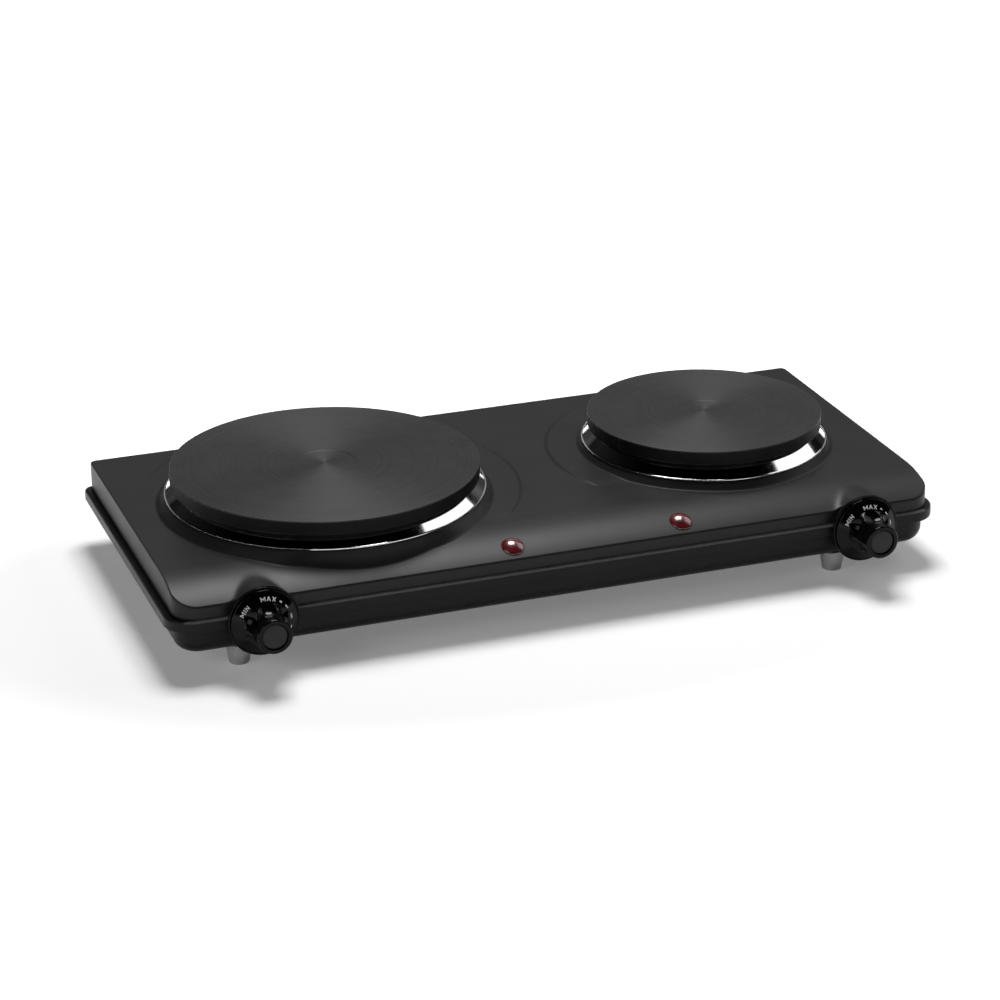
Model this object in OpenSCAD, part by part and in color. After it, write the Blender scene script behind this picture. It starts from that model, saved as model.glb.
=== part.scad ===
// Two-plate electric hot plate: a steel cover on a steel tray, two cast-iron
// plates clamped from below, two thermostats with knobs and two pilot lamps.
// X runs along the front, Y to the back, Z up. The feet stand on z = 0.

/* [Housing] */
// Width of the top cover
cover_w = 470; // [466:1:510]
// Depth of the top cover, front to back
cover_d = 216; // [214:1:240]
// Height of the cover's side walls
cover_h = 17.2; // [17:0.2:20]
// Sheet thickness of the cover and the tray
sheet = 0.8; // [0.6:0.1:1.2]
// Plan radius of the cover's two front corners
front_corner_r = 14; // [12:1:20]
// Plan radius of the cover's two back corners
back_corner_r = 4; // [3:0.5:8]
// Radius along the cover's top edge at the sides and back
top_edge_r = 1.5; // [1.2:0.1:2]
// Depth of the rolled front edge, front to back
roll_run = 36; // [32:1:38]
// Drop of the rolled front edge at its front
roll_drop = 9.7; // [7:0.1:11]

/* [Base tray] */
// Height of the tray below its flange
tray_h = 16; // [14:0.5:20]
// Height of the tray's flange band
flange_h = 7.2; // [6:0.2:9]
// How far the flange stands out past the cover at the sides
flange_out_side = 4.5; // [3:0.1:6]
// How far the flange stands out past the cover at the front and back
flange_out_front = 2.3; // [2:0.1:2.4]
// How far the tray below the flange is set in from the flange at the sides
tray_inset_side = 5.5; // [4:0.5:8]
// How far the tray below the flange is set in from the flange at the front and back
tray_inset_front = 3.8; // [3:0.2:4.4]
// Plan radius of the tray below its flange
tray_corner_r = 14.5; // [13:0.5:20]
// Radius between the tray's floor and its walls
tray_edge_r = 9; // [6:0.5:10]
// Width of the ledge that the cover stands on, past the cover's inner face
ledge_w = 1.5; // [1:0.1:2]

/* [Feet] */
// Height of a rubber foot
foot_h = 12.5; // [10:0.5:16]
// Radius of a foot where it meets the tray
foot_top_r = 7.8; // [7:0.1:9]
// Radius of a foot where it stands
foot_bottom_r = 5.8; // [5.6:0.1:7]
// Distance of the two left feet from the cover's left end
foot_left_in = 38.5; // [30:0.5:55]
// Distance of the two right feet from the cover's right end
foot_right_in = 59.5; // [35:0.5:75]
// Distance of the feet from the cover's front and back edges
foot_in_y = 16; // [13:1:22]

/* [Hot plates] */
// Radius of the large plate
large_r = 92.5; // [88:0.5:94]
// Radius of the small plate
small_r = 72.5; // [66:0.5:78]
// Distance of the large plate's centre from the cover's left end
large_in = 120; // [118:1:122]
// Distance of the small plate's centre from the cover's right end
small_in = 104.5; // [99:0.5:109]
// Distance of both plate centres behind the middle of the cover
plate_y = 2.5; // [0:0.5:4]
// Height of the plates' tops above the cover's top
plate_rise = 22.5; // [20:0.5:26]
// Thickness of a plate at its rim
plate_rim_h = 8.5; // [7:0.5:10]
// Radius of the shallow recess in the middle of the large plate
large_recess_r = 19; // [14:0.5:24]
// Radius of the shallow recess in the middle of the small plate
small_recess_r = 16.5; // [12:0.5:20]

/* [Collars and spill rings] */
// Height of the large plate's collar above the cover
large_collar_h = 6.5; // [5:0.1:8]
// Height of the small plate's collar above the cover
small_collar_h = 5; // [4:0.1:7]
// Plan width of a collar's slope
collar_run = 5.4; // [4:0.1:6]
// How far a spill ring stands out past its plate
ring_out = 3.3; // [2.5:0.1:4]
// Thickness of a spill ring
ring_t = 0.6; // [0.5:0.1:0.8]

/* [Crescent steps] */
// Radius of the step beside the large plate
large_step_r = 115.5; // [110:0.5:122]
// Radius of the step beside the small plate
small_step_r = 98; // [92:1:101]
// Mean height of a step above the cover
step_h = 0.35; // [0.2:0.05:0.5]
// Tilt of the large plate's step
large_step_tilt = 0.53; // [0.3:0.01:0.6]
// Tilt of the small plate's step
small_step_tilt = 0.42; // [0.3:0.01:0.6]

/* [Knobs] */
// Distance of each knob's axis from the nearer end of the cover
knob_in = 48.5; // [47:0.5:51]
// Depth of the knob axes below the cover's top
knob_drop = 20.4; // [19.5:0.1:21.4]
// Radius of a knob's printed skirt
skirt_r = 19.4; // [17:0.1:19.5]
// Thickness of a knob's skirt
skirt_t = 1.6; // [1.4:0.1:2.4]
// Radius of a knob's grip where it leaves the skirt
grip_root_r = 15; // [13:0.5:16]
// Radius of a knob's grip at its front
grip_front_r = 10.3; // [9.5:0.1:11]
// Length of a knob's grip
grip_l = 22; // [20:0.5:26]
// Number of finger flutes around a grip
flute_n = 6; // [4:1:8]
// Radius of the cap in a knob's front
cap_r = 7.3; // [6:0.1:8]

/* [Thermostats] */
// Radius of a thermostat's shaft
shaft_r = 3; // [2.5:0.1:3]
// Radius of a thermostat's threaded bushing
bushing_r = 5; // [4.5:0.1:5.2]
// Width of a thermostat's body
thermostat_w = 24; // [20:1:26]
// Length of a thermostat's body
thermostat_l = 28; // [24:1:32]
// Height of a thermostat's body
thermostat_h = 20; // [18:0.5:20]

/* [Pilot lamps] */
// X of the left pilot lamp
lamp_left_x = -32; // [-34:1:-24]
// X of the right pilot lamp
lamp_right_x = 73.5; // [68:0.5:80]
// Distance of the lamps behind the cover's front
lamp_back = 9.2; // [9:0.1:12]
// Radius of a lamp's lens
lens_r = 6.9; // [6:0.1:7.5]
// Height of a lens above the cover
lens_h = 3.4; // [2.5:0.1:4.5]

/* [Cord inlet] */
// X of the cord inlet in the back wall
inlet_x = 15; // [10:1:20]
// Radius of the hole that the cord passes
cord_hole_r = 3.8; // [3.4:0.1:4.2]

/* [Fits] */
// Radial clearance of a turning shaft
run_clear = 0.04; // [0.02:0.01:0.08]
// Clearance between parts that pass each other
gap = 0.3; // [0.2:0.05:0.4]

/* [Hidden] */
$fn = 96;
eps = 0.01;

// Levels, from the feet up
tray_z = foot_h;
flange_z = tray_z + tray_h;
seam_z = flange_z + flange_h;
top_z = seam_z + cover_h;
plate_top_z = top_z + plate_rise;
plate_under_z = plate_top_z - plate_rim_h;
floor_top_z = tray_z + sheet;
ceiling_z = top_z - sheet;

// Cover outline and front roll
front_y = -cover_d / 2;
back_y = cover_d / 2;
roll_r = (roll_run * roll_run + roll_drop * roll_drop) / (2 * roll_drop);
// How far a cutting shape reaches past a wall, so that no faces coincide
cut_over = 6;
roll_y = front_y + roll_run;

// Places along the cover, from its ends and edges
large_x = -cover_w / 2 + large_in;
small_x = cover_w / 2 - small_in;
knob_x = cover_w / 2 - knob_in;
foot_left_x = -cover_w / 2 + foot_left_in;
foot_right_x = cover_w / 2 - foot_right_in;
foot_y = cover_d / 2 - foot_in_y;

// Tray outline
flange_w = cover_w + 2 * flange_out_side;
flange_d = cover_d + 2 * flange_out_front;
flange_front_r = front_corner_r + (flange_out_side + flange_out_front) / 2;
flange_back_r = back_corner_r + flange_out_front;
tray_w = flange_w - 2 * tray_inset_side;
tray_d = flange_d - 2 * tray_inset_front;
ledge_in = flange_out_side + sheet + ledge_w;
ledge_in_front = flange_out_front + sheet + ledge_w;

// Parts of a hot plate, as offsets from its radius
skirt_in = 8.5;
skirt_wall = 4;
skirt_h = 7.5;
hub_r = 9;
hub_h = 10.9;
core_h = 5.5;
core_clear = 0.2;
coil_r = 2;
coil_pitch = 13;
coil_first_r = 24;
recess_depth = 0.4;
rim_edge_r = 1;
skirt_bottom_z = plate_under_z - skirt_h;
hub_bottom_z = plate_under_z - hub_h;
core_bottom_z = plate_under_z - core_h;

// Collars: each is a cone that runs on down inside the cover
collar_slope = collar_run / large_collar_h;
collar_deep = 8;
opening_in = 4.5;
collar_shell = 1.3 * sheet;
rim_out = ring_out - 0.2;

// Crescent steps: their flanks, and where they stand out from the cover
step_rise = 2;
step_bevel = 6;
large_step_towards = 50;
large_step_off = [4, 6];
small_step_towards = 150;
small_step_off = [0, 0];

// Heat shield, bridge and centre stud
shield_t = 0.6;
shield_bottom_z = hub_bottom_z - shield_t;
bridge_t = 1.5;
bridge_w = 22;
bridge_bear = 8;
bridge_joggle = 6;
stud_r = 3;
stud_in = 8;
thread_clear = 0.05;
washer_r = 7;
washer_t = 1.2;
nut_h = 5;
nut_af = 10;
bridge_mid_z = shield_bottom_z - bridge_t;
washer_z = bridge_mid_z - washer_t;
nut_z = washer_z - nut_h;
stud_out = 2;

// Terminal block under each plate
block_off = 38;
block_l = 34;
block_w = 16;
block_h = 9;
neck_l = 24;
neck_w = 8;
block_z = shield_bottom_z - block_h;
tab_w = 6.3;
tab_t = 0.8;
tab_l = 9;
tab_pitch = 10;

// Front stack behind each knob, from the cover forward
boss_gap = 0.2;
boss_face_t = 1;
boss_r = knob_drop;
hump_in = 2.9;
hump_r = boss_r - hump_in;
dial_r = boss_r + 0.4;
dial_t = 1;
dial_lip_t = 1;
dial_lip_h = 0.9;
knob_gap = 0.4;
axis_z = top_z - knob_drop;
boss_back_y = front_y - flange_out_front - boss_gap;
boss_front_y = boss_back_y - boss_face_t;
dial_front_y = boss_front_y - dial_t;
skirt_back_y = dial_front_y - knob_gap;
skirt_front_y = skirt_back_y - skirt_t;
knob_front_y = skirt_front_y - grip_l;
boss_from_y = roll_y - 3;

// Knob inside and cap
nut_room_r = 8.6;
nut_room_l = 4.2;
cap_depth = 2;
cap_t = 1.5;
cap_wall = 1.5;
socket_clear = 0.03;
flat_off = shaft_r * 0.73;
flat_l = 14;
flute_r = 10.5;
flute_out = 8.4;
flute_mid = 9.5;

// Thermostat
thermostat_y = front_y + 4.5;
shoulder_r = 7;
bush_nut_h = 2.2;
bush_nut_af = 14;
bush_hole_r = bushing_r + gap / 2;
bushing_tip_y = dial_front_y - bush_nut_h - 0.6;
shaft_end_y = knob_front_y + cap_depth + cap_wall + gap;
shaft_back_y = thermostat_y + 11;
notch_w = 2 * (shoulder_r + 1);
thermostat_tab_x = 6;
thermostat_tab_l = 8;

// Lamps stand square to the rolled front
lamp_y = front_y + lamp_back;
lamp_tilt = asin((roll_y - lamp_y) / roll_r);
lamp_z = top_z - roll_r * (1 - cos(lamp_tilt));
lamp_hole_r = 5;
lens_flange_h = 0.9;
lens_neck_l = 6;
lamp_body_r = 4.6;
lamp_body_l = 16;
clip_r = 8;
clip_t = 0.6;
clip_sag = clip_r * clip_r / (2 * (roll_r - sheet));

// Cover posts and screws
post_in_side = 18;
post_in_front = 58;
post_in_back = 28;
post_mid_x = 40;
post_x = [-cover_w / 2 + post_in_side, post_mid_x, cover_w / 2 - post_in_side];
post_y = [front_y + post_in_front, back_y - post_in_back];
post_r = 4;
post_hole_r = 1.5;
screw_l = 10;
screw_head_r = 3.5;
screw_head_h = 2.2;
foot_pad_r = foot_top_r + 1.2;
foot_screw_r = 2;
foot_head_r = 3.6;
foot_head_h = 2.4;
foot_counterbore = 6;
foot_nut_h = 3.2;
foot_nut_af = 7;

// Vent slots in the tray's floor
slot_w = 3;
slot_l = 34;
slot_pitch = 10;
slot_out = 55;

// Inlet bushing, in the middle of the back wall's height
inlet_z = seam_z + cover_h / 2;
bushing_neck_r = 6.15;
bushing_flange_r = 7.8;
bushing_flange_t = 2.5;
bushing_nose = 3.5;
bushing_inner_t = 1.8;
inlet_tail = 1.6;

// Mains terminal block and earth stud
mains_x = inlet_x;
mains_in = 48;
mains_y = back_y - mains_in;
mains_l = 32;
mains_w = 16;
mains_h = 13;
mains_pitch = 10;
pin_hole_r = 2.2;
pin_hole_l = 5;
pin_sink = 1.5;
earth_x = -14;
earth_in = 36;
earth_y = back_y - earth_in;
earth_stud_l = 10;

// Wires
wire_r = 1.3;
lead_r = 0.7;
wire_low_z = 24;
wire_mid_z = 28;
wire_high_z = 32;

// The overall depth runs from the knob fronts to the inlet bushing's nose
front_reach = -knob_front_y;
back_reach = back_y + bushing_flange_t + bushing_nose;
centre_y = (front_reach - back_reach) / 2;

// ---------------------------------------------------------------- helpers

// Everything is drawn around the middle of the cover and then centred in depth
module placed() {
    translate([0, centre_y, 0]) children();
}

// Square with four round corners
module rounded_square(w, d, r) {
    union() {
        square([w - 2 * r, d], center = true);
        square([w, d - 2 * r], center = true);
        for (sx = [-1, 1])
            for (sy = [-1, 1])
                translate([sx * (w / 2 - r), sy * (d / 2 - r)]) circle(r);
    }
}

// Plan outline with one radius at the front corners and another at the back
module plan_outline(w, d, r_front, r_back) {
    spare = 2 * (r_front + r_back);
    intersection() {
        translate([0, spare / 2]) rounded_square(w, d + spare, r_front);
        translate([0, -spare / 2]) rounded_square(w, d + spare, r_back);
    }
}

// Side view of a slab with a rounded top edge
module slab_profile(w, h, e) {
    union() {
        translate([-w / 2, 0]) square([w, h - e]);
        translate([-w / 2 + e, 0]) square([w - 2 * e, h]);
        for (s = [-1, 1])
            translate([s * (w / 2 - e), h - e]) circle(e);
    }
}

// Slab with plan radius r and a rounded top edge e
module slab(w, d, h, r, e) {
    union() {
        translate([0, (d - 2 * r) / 2, 0]) rotate([90, 0, 0])
            linear_extrude(d - 2 * r) slab_profile(w, h, e);
        translate([-(w - 2 * r) / 2, 0, 0]) rotate([90, 0, 90])
            linear_extrude(w - 2 * r) slab_profile(d, h, e);
        for (sx = [-1, 1])
            for (sy = [-1, 1])
                translate([sx * (w / 2 - r), sy * (d / 2 - r), 0])
                    rotate_extrude()
                        intersection() {
                            slab_profile(2 * r, h, e);
                            translate([0, -eps]) square([r + 1, h + 1]);
                        }
    }
}

// Cylinder that lies along Y, from y0 to y1
module rod_y(r, y0, y1) {
    translate([0, max(y0, y1), 0]) rotate([90, 0, 0]) cylinder(h = abs(y1 - y0), r = r);
}

// Hexagonal prism standing on z = 0, with across-flats size af
module hexagon(af, h) {
    cylinder(h = h, r = af / sqrt(3), $fn = 6);
}

// Cross recess, cut down from z = 0
module cross_recess(size) {
    for (a = [0, 90])
        rotate([0, 0, a]) translate([-size / 2, -size / 8, -size / 4])
            cube([size, size / 4, size / 4 + 1]);
}

// Straight round bar from point a to point b
module bar(a, b, r) {
    d = b - a;
    translate(a)
        rotate([0, acos(d[2] / norm(d)), atan2(d[1], d[0])])
            cylinder(h = norm(d), r = r, $fn = 24);
}

// Wire along a list of points, with round elbows
module wire(points, r) {
    for (i = [0 : len(points) - 2])
        bar(points[i], points[i + 1], r);
    for (i = [1 : len(points) - 2])
        translate(points[i]) sphere(r, $fn = 24);
}

module at_plate(x) {
    translate([x, plate_y, 0]) children();
}

module at_knob(side) {
    translate([side * knob_x, 0, axis_z]) children();
}

module at_lamp(x) {
    translate([x, lamp_y, lamp_z]) rotate([lamp_tilt, 0, 0]) children();
}

module at_posts() {
    for (x = post_x)
        for (y = post_y)
            translate([x, y, 0]) children();
}

module at_feet() {
    for (x = [foot_left_x, foot_right_x])
        for (s = [-1, 1])
            translate([x, s * foot_y, 0]) children();
}

// ------------------------------------------------------------------ cover

// Outside of the cover, without collars and bosses
module cover_form() {
    spare = 2 * front_corner_r;
    intersection() {
        translate([0, spare / 2, seam_z])
            slab(cover_w, cover_d + spare, cover_h, front_corner_r, top_edge_r);
        translate([0, -spare / 2, seam_z])
            slab(cover_w, cover_d + spare, cover_h, back_corner_r, top_edge_r);
        roll_block(0);
    }
}

// Hollow of the cover, one sheet thickness inside its walls and top
module cover_hollow() {
    intersection() {
        translate([0, 0, seam_z - 1]) linear_extrude(cover_h + 1)
            plan_outline(cover_w - 2 * sheet, cover_d - 2 * sheet, front_corner_r - sheet,
                         back_corner_r - sheet);
        roll_block(sheet);
    }
}

// Side view of the cover drawn out over its width
module roll_block(i) {
    translate([-cover_w, 0, 0]) rotate([90, 0, 90]) linear_extrude(2 * cover_w) roll_profile(i);
}

// Side view of the cover: a flat top that rolls down at the front
module roll_profile(i) {
    union() {
        translate([roll_y, 0]) square([cover_d, top_z - i]);
        intersection() {
            translate([roll_y, top_z - roll_r]) circle(roll_r - i, $fn = 360);
            translate([front_y - cut_over, 0]) square([roll_run + cut_over, top_z]);
        }
    }
}

// Cone of a collar, shrunk by the distance i
module collar_form(r, h, i) {
    deep = collar_deep + h;
    translate([0, 0, top_z - collar_deep])
        cylinder(h = deep - i * sheet, r1 = r + rim_out + collar_slope * deep - i * collar_shell,
                 r2 = r + rim_out + collar_slope * i * sheet - i * collar_shell);
}

// Round step, tilted so that it stands out on one side only
module crescent_step(r, tilt, towards, off) {
    intersection() {
        translate([off[0], off[1], top_z]) rotate([0, 0, towards]) rotate([0, -tilt, 0])
            translate([0, 0, step_h - step_rise])
                cylinder(h = step_rise, r1 = r + step_bevel - 1, r2 = r - 1);
        translate([-cover_w / 2, roll_y - plate_y, top_z - sheet / 2])
            cube([cover_w, back_y - roll_y - top_edge_r, plate_rise]);
    }
}

// Half-round hump behind a knob, with a full round face in front of it
module boss_form() {
    union() {
        intersection() {
            rod_y(hump_r, boss_from_y, boss_front_y);
            translate([-boss_r, boss_front_y - 1, seam_z - axis_z])
                cube([2 * boss_r, 2 * boss_r + roll_run, 2 * boss_r]);
        }
        rod_y(boss_r, boss_back_y, boss_front_y);
    }
}

module top_cover() {
    color([0.1, 0.1, 0.1]) placed() difference() {
        union() {
            cover_form();
            at_plate(large_x) collar_form(large_r, large_collar_h, 0);
            at_plate(small_x) collar_form(small_r, small_collar_h, 0);
            at_plate(large_x)
                crescent_step(large_step_r, large_step_tilt, large_step_towards, large_step_off);
            at_plate(small_x)
                crescent_step(small_step_r, small_step_tilt, small_step_towards, small_step_off);
            for (side = [-1, 1]) at_knob(side) boss_form();
        }
        difference() {
            cover_hollow();
            // The hollow stops at the faces behind the knobs
            translate([-cover_w, boss_front_y, 0]) cube([2 * cover_w, boss_face_t, top_z]);
        }
        at_plate(large_x) collar_form(large_r, large_collar_h, 1);
        at_plate(small_x) collar_form(small_r, small_collar_h, 1);
        for (side = [-1, 1]) at_knob(side) intersection() {
            rod_y(hump_r - sheet, boss_from_y + sheet, boss_back_y);
            translate([-boss_r, boss_back_y, seam_z - axis_z - eps])
                cube([2 * boss_r, 2 * boss_r + roll_run, 2 * boss_r]);
        }
        for (side = [-1, 1]) at_knob(side)
            rod_y(bush_hole_r, boss_front_y - 1, boss_back_y + 1);
        at_plate(large_x) translate([0, 0, ceiling_z])
            cylinder(h = plate_rise, r = large_r - opening_in);
        at_plate(small_x) translate([0, 0, ceiling_z])
            cylinder(h = plate_rise, r = small_r - opening_in);
        for (x = [lamp_left_x, lamp_right_x])
            at_lamp(x) translate([0, 0, -4]) cylinder(h = 8, r = lamp_hole_r);
        translate([inlet_x, 0, inlet_z])
            rod_y(bushing_neck_r, back_y - 2 * sheet, back_y + 1);
    }
}

// ------------------------------------------------------------------- tray

// Tray below its flange, with its walls and floor moved in by i
module tray_form(i) {
    h = flange_z - tray_z + sheet + eps;
    translate([0, 0, flange_z + sheet + eps]) mirror([0, 0, 1])
        slab(tray_w - 2 * i, tray_d - 2 * i, h - i, tray_corner_r - i, tray_edge_r - i);
}

module flange_outline(i_side, i_front) {
    plan_outline(flange_w - 2 * i_side, flange_d - 2 * i_front,
                 flange_front_r - i_front, max(flange_back_r - i_front, 1));
}

// Row of vent slots under a plate, each lying along Y
module vent_slots(count) {
    for (k = [0 : count - 1])
        translate([(k - (count - 1) / 2) * slot_pitch, 0, tray_z - 1]) {
            translate([-slot_w / 2, -slot_l / 2, 0]) cube([slot_w, slot_l, sheet + 2]);
            for (s = [-1, 1])
                translate([0, s * slot_l / 2, 0]) cylinder(h = sheet + 2, r = slot_w / 2);
        }
}

module base_tray() {
    color([0.09, 0.09, 0.09]) placed() difference() {
        union() {
            tray_form(0);
            translate([0, 0, flange_z]) linear_extrude(flange_h) flange_outline(0, 0);
            at_feet() translate([0, 0, tray_z]) cylinder(h = sheet, r = foot_pad_r);
        }
        tray_form(sheet);
        translate([0, 0, flange_z + sheet]) linear_extrude(flange_h - 2 * sheet)
            flange_outline(sheet, sheet);
        translate([0, 0, flange_z + sheet]) linear_extrude(flange_h)
            flange_outline(ledge_in, ledge_in_front);
        for (side = [-1, 1])
            translate([side * knob_x - notch_w / 2, -flange_d, axis_z]) {
                translate([0, 0, -shoulder_r - 1]) cube([notch_w, flange_d / 2 + 20, cover_h * 2]);
            }
        at_plate(large_x) for (s = [-1, 1]) translate([0, s * slot_out / 2, 0]) vent_slots(11);
        at_plate(small_x) for (s = [-1, 1]) translate([0, s * slot_out / 2, 0]) vent_slots(9);
        at_posts() translate([0, 0, tray_z - 1]) cylinder(h = 4, r = post_hole_r + gap);
        at_feet() translate([0, 0, tray_z - 1]) cylinder(h = 4, r = foot_screw_r + gap / 2);
    }
}

// ------------------------------------------------------------- hot plates

// One cast-iron plate: thick turned disc, skirt and hub below
module hotplate(r, recess_r) {
    color([0.25, 0.25, 0.25]) difference() {
        union() {
            rotate_extrude() intersection() {
                translate([0, plate_under_z]) slab_profile(2 * r, plate_rim_h, rim_edge_r);
                translate([0, 0]) square([r + 1, plate_top_z + 1]);
            }
            translate([0, 0, skirt_bottom_z]) cylinder(h = skirt_h + eps, r = r - skirt_in);
            translate([0, 0, hub_bottom_z]) cylinder(h = hub_h, r = hub_r);
        }
        translate([0, 0, skirt_bottom_z - 1]) difference() {
            cylinder(h = skirt_h + 1, r = r - skirt_in - skirt_wall);
            translate([0, 0, -1]) cylinder(h = skirt_h + 3, r = hub_r);
        }
        translate([0, 0, plate_top_z - recess_depth]) cylinder(h = 1, r = recess_r);
        translate([0, 0, hub_bottom_z - 1]) cylinder(h = stud_in + 1, r = stud_r + thread_clear);
    }
}

module hotplate_large() {
    placed() at_plate(large_x) hotplate(large_r, large_recess_r);
}

module hotplate_small() {
    placed() at_plate(small_x) hotplate(small_r, small_recess_r);
}

// Bright ring between a plate and its collar
module spill_ring(r, collar_h) {
    z = top_z + collar_h;
    color([0.85, 0.85, 0.86]) rotate_extrude() polygon([
        [r + 0.5, z],
        [r + ring_out, z],
        [r + ring_out, z + ring_t],
        [r - 5, plate_under_z],
        [r - 8, plate_under_z],
        [r - 8, plate_under_z - ring_t],
        [r - 5 - ring_t / 2, plate_under_z - ring_t],
        [r + ring_out - 1.6 * ring_t, z + ring_t],
        [r + 0.5, z + ring_t]
    ]);
}

module spill_ring_large() {
    placed() at_plate(large_x) spill_ring(large_r, large_collar_h);
}

module spill_ring_small() {
    placed() at_plate(small_x) spill_ring(small_r, small_collar_h);
}

function core_r(r) = r - skirt_in - skirt_wall - core_clear;
function coil_radii(r) = [for (c = coil_first_r; c < core_r(r) - coil_pitch / 2; c = c + coil_pitch) c];

// Ceramic filling with open grooves for the coils
module heating_core(r) {
    groove = coil_r + core_clear / 2;
    color([0.85, 0.82, 0.75]) difference() {
        translate([0, 0, core_bottom_z]) cylinder(h = core_h, r = core_r(r));
        translate([0, 0, core_bottom_z - 1]) cylinder(h = core_h + 2, r = hub_r + core_clear);
        for (c = coil_radii(r))
            translate([0, 0, plate_under_z - 2 * groove]) difference() {
                cylinder(h = 2 * groove + 1, r = c + groove);
                translate([0, 0, -1]) cylinder(h = 2 * groove + 3, r = c - groove);
            }
    }
}

// Coiled heating wire, drawn as its outer shape: one round ring per groove
module heating_coils(r) {
    color([0.55, 0.5, 0.45]) for (c = coil_radii(r))
        translate([0, 0, plate_under_z - coil_r - core_clear / 2])
            rotate_extrude() translate([c, 0]) circle(coil_r, $fn = 32);
}

module heating_core_large() {
    placed() at_plate(large_x) heating_core(large_r);
}

module heating_core_small() {
    placed() at_plate(small_x) heating_core(small_r);
}

module heating_coils_large() {
    placed() at_plate(large_x) heating_coils(large_r);
}

module heating_coils_small() {
    placed() at_plate(small_x) heating_coils(small_r);
}

// Pressed pan that closes a plate from below
module heat_shield(r) {
    wall_r = r - skirt_in - skirt_wall + 1;
    color([0.7, 0.7, 0.68]) difference() {
        rotate_extrude() polygon([
            [stud_r + gap, shield_bottom_z],
            [wall_r, shield_bottom_z],
            [wall_r, skirt_bottom_z - shield_t],
            [r - skirt_in, skirt_bottom_z - shield_t],
            [r - skirt_in, skirt_bottom_z],
            [wall_r - shield_t, skirt_bottom_z],
            [wall_r - shield_t, hub_bottom_z],
            [stud_r + gap, hub_bottom_z]
        ]);
        translate([-neck_l / 2 - gap, block_off - neck_w / 2 - gap, shield_bottom_z - 1])
            cube([neck_l + 2 * gap, neck_w + 2 * gap, shield_t + 2]);
    }
}

module heat_shield_large() {
    placed() at_plate(large_x) heat_shield(large_r);
}

module heat_shield_small() {
    placed() at_plate(small_x) heat_shield(small_r);
}

// Steel strip across the opening, whose ends bear on the cover from below
module clamp_bridge(r, collar_h) {
    inner = r + rim_out + collar_slope * collar_h - collar_shell;
    end = inner + bridge_bear;
    flat = inner - gap;
    mid = flat - bridge_joggle;
    color([0.72, 0.72, 0.74]) difference() {
        translate([0, bridge_w / 2, 0]) rotate([90, 0, 0]) linear_extrude(bridge_w) polygon([
            [-end, ceiling_z - bridge_t],
            [-flat, ceiling_z - bridge_t],
            [-mid, bridge_mid_z],
            [mid, bridge_mid_z],
            [flat, ceiling_z - bridge_t],
            [end, ceiling_z - bridge_t],
            [end, ceiling_z],
            [flat, ceiling_z],
            [mid, bridge_mid_z + bridge_t],
            [-mid, bridge_mid_z + bridge_t],
            [-flat, ceiling_z],
            [-end, ceiling_z]
        ]);
        translate([0, 0, bridge_mid_z - 1]) cylinder(h = bridge_t + 2, r = stud_r + gap);
    }
}

module clamp_bridge_large() {
    placed() at_plate(large_x) clamp_bridge(large_r, large_collar_h);
}

module clamp_bridge_small() {
    placed() at_plate(small_x) clamp_bridge(small_r, small_collar_h);
}

module at_plates() {
    for (x = [large_x, small_x])
        at_plate(x) children();
}

module plate_studs() {
    color([0.75, 0.75, 0.75]) placed() at_plates()
        translate([0, 0, nut_z - stud_out])
            cylinder(h = hub_bottom_z + stud_in - nut_z + stud_out, r = stud_r);
}

module stud_washers() {
    color([0.75, 0.75, 0.75]) placed() at_plates()
        translate([0, 0, washer_z]) difference() {
            cylinder(h = washer_t, r = washer_r);
            translate([0, 0, -1]) cylinder(h = washer_t + 2, r = stud_r + gap);
        }
}

module stud_nuts() {
    color([0.75, 0.75, 0.72]) placed() at_plates()
        translate([0, 0, nut_z]) difference() {
            hexagon(nut_af, nut_h);
            translate([0, 0, -1]) cylinder(h = nut_h + 2, r = stud_r + thread_clear);
        }
}

// Ceramic block that hangs under a heat shield, with a neck up to the core
module plate_terminal() {
    color([0.92, 0.9, 0.85]) union() {
        translate([-block_l / 2, block_off - block_w / 2, block_z])
            cube([block_l, block_w, block_h]);
        translate([-neck_l / 2, block_off - neck_w / 2, block_z + block_h - eps])
            cube([neck_l, neck_w, core_bottom_z - block_z - block_h + eps]);
    }
}

module plate_terminal_large() {
    placed() at_plate(large_x) plate_terminal();
}

module plate_terminal_small() {
    placed() at_plate(small_x) plate_terminal();
}

module plate_terminal_tabs() {
    color([0.8, 0.65, 0.3]) placed() at_plates() for (k = [-1, 0, 1])
        translate([k * tab_pitch - tab_w / 2, block_off - tab_t / 2, block_z - tab_l])
            cube([tab_w, tab_t, tab_l]);
}

// ------------------------------------------------------ thermostats, knobs

// Ceramic and phenolic stack with a threaded bushing, its shaft hole blind
module thermostat(side) {
    color([0.86, 0.84, 0.78]) at_knob(side) difference() {
        union() {
            translate([-thermostat_w / 2, thermostat_y, -thermostat_h / 2])
                cube([thermostat_w, thermostat_l, thermostat_h]);
            rod_y(shoulder_r, thermostat_y + eps, boss_back_y);
            rod_y(bushing_r, boss_back_y + eps, bushing_tip_y);
        }
        rod_y(shaft_r + run_clear, shaft_back_y + gap, bushing_tip_y - 1);
    }
}

module thermostat_left() {
    placed() thermostat(-1);
}

module thermostat_right() {
    placed() thermostat(1);
}

module thermostat_tabs() {
    color([0.8, 0.65, 0.3]) placed() for (side = [-1, 1]) at_knob(side)
        for (k = [-1, 1])
            translate([k * thermostat_tab_x - tab_t / 2, thermostat_y + thermostat_l, -tab_w / 2])
                cube([tab_t, thermostat_tab_l, tab_w]);
}

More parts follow.
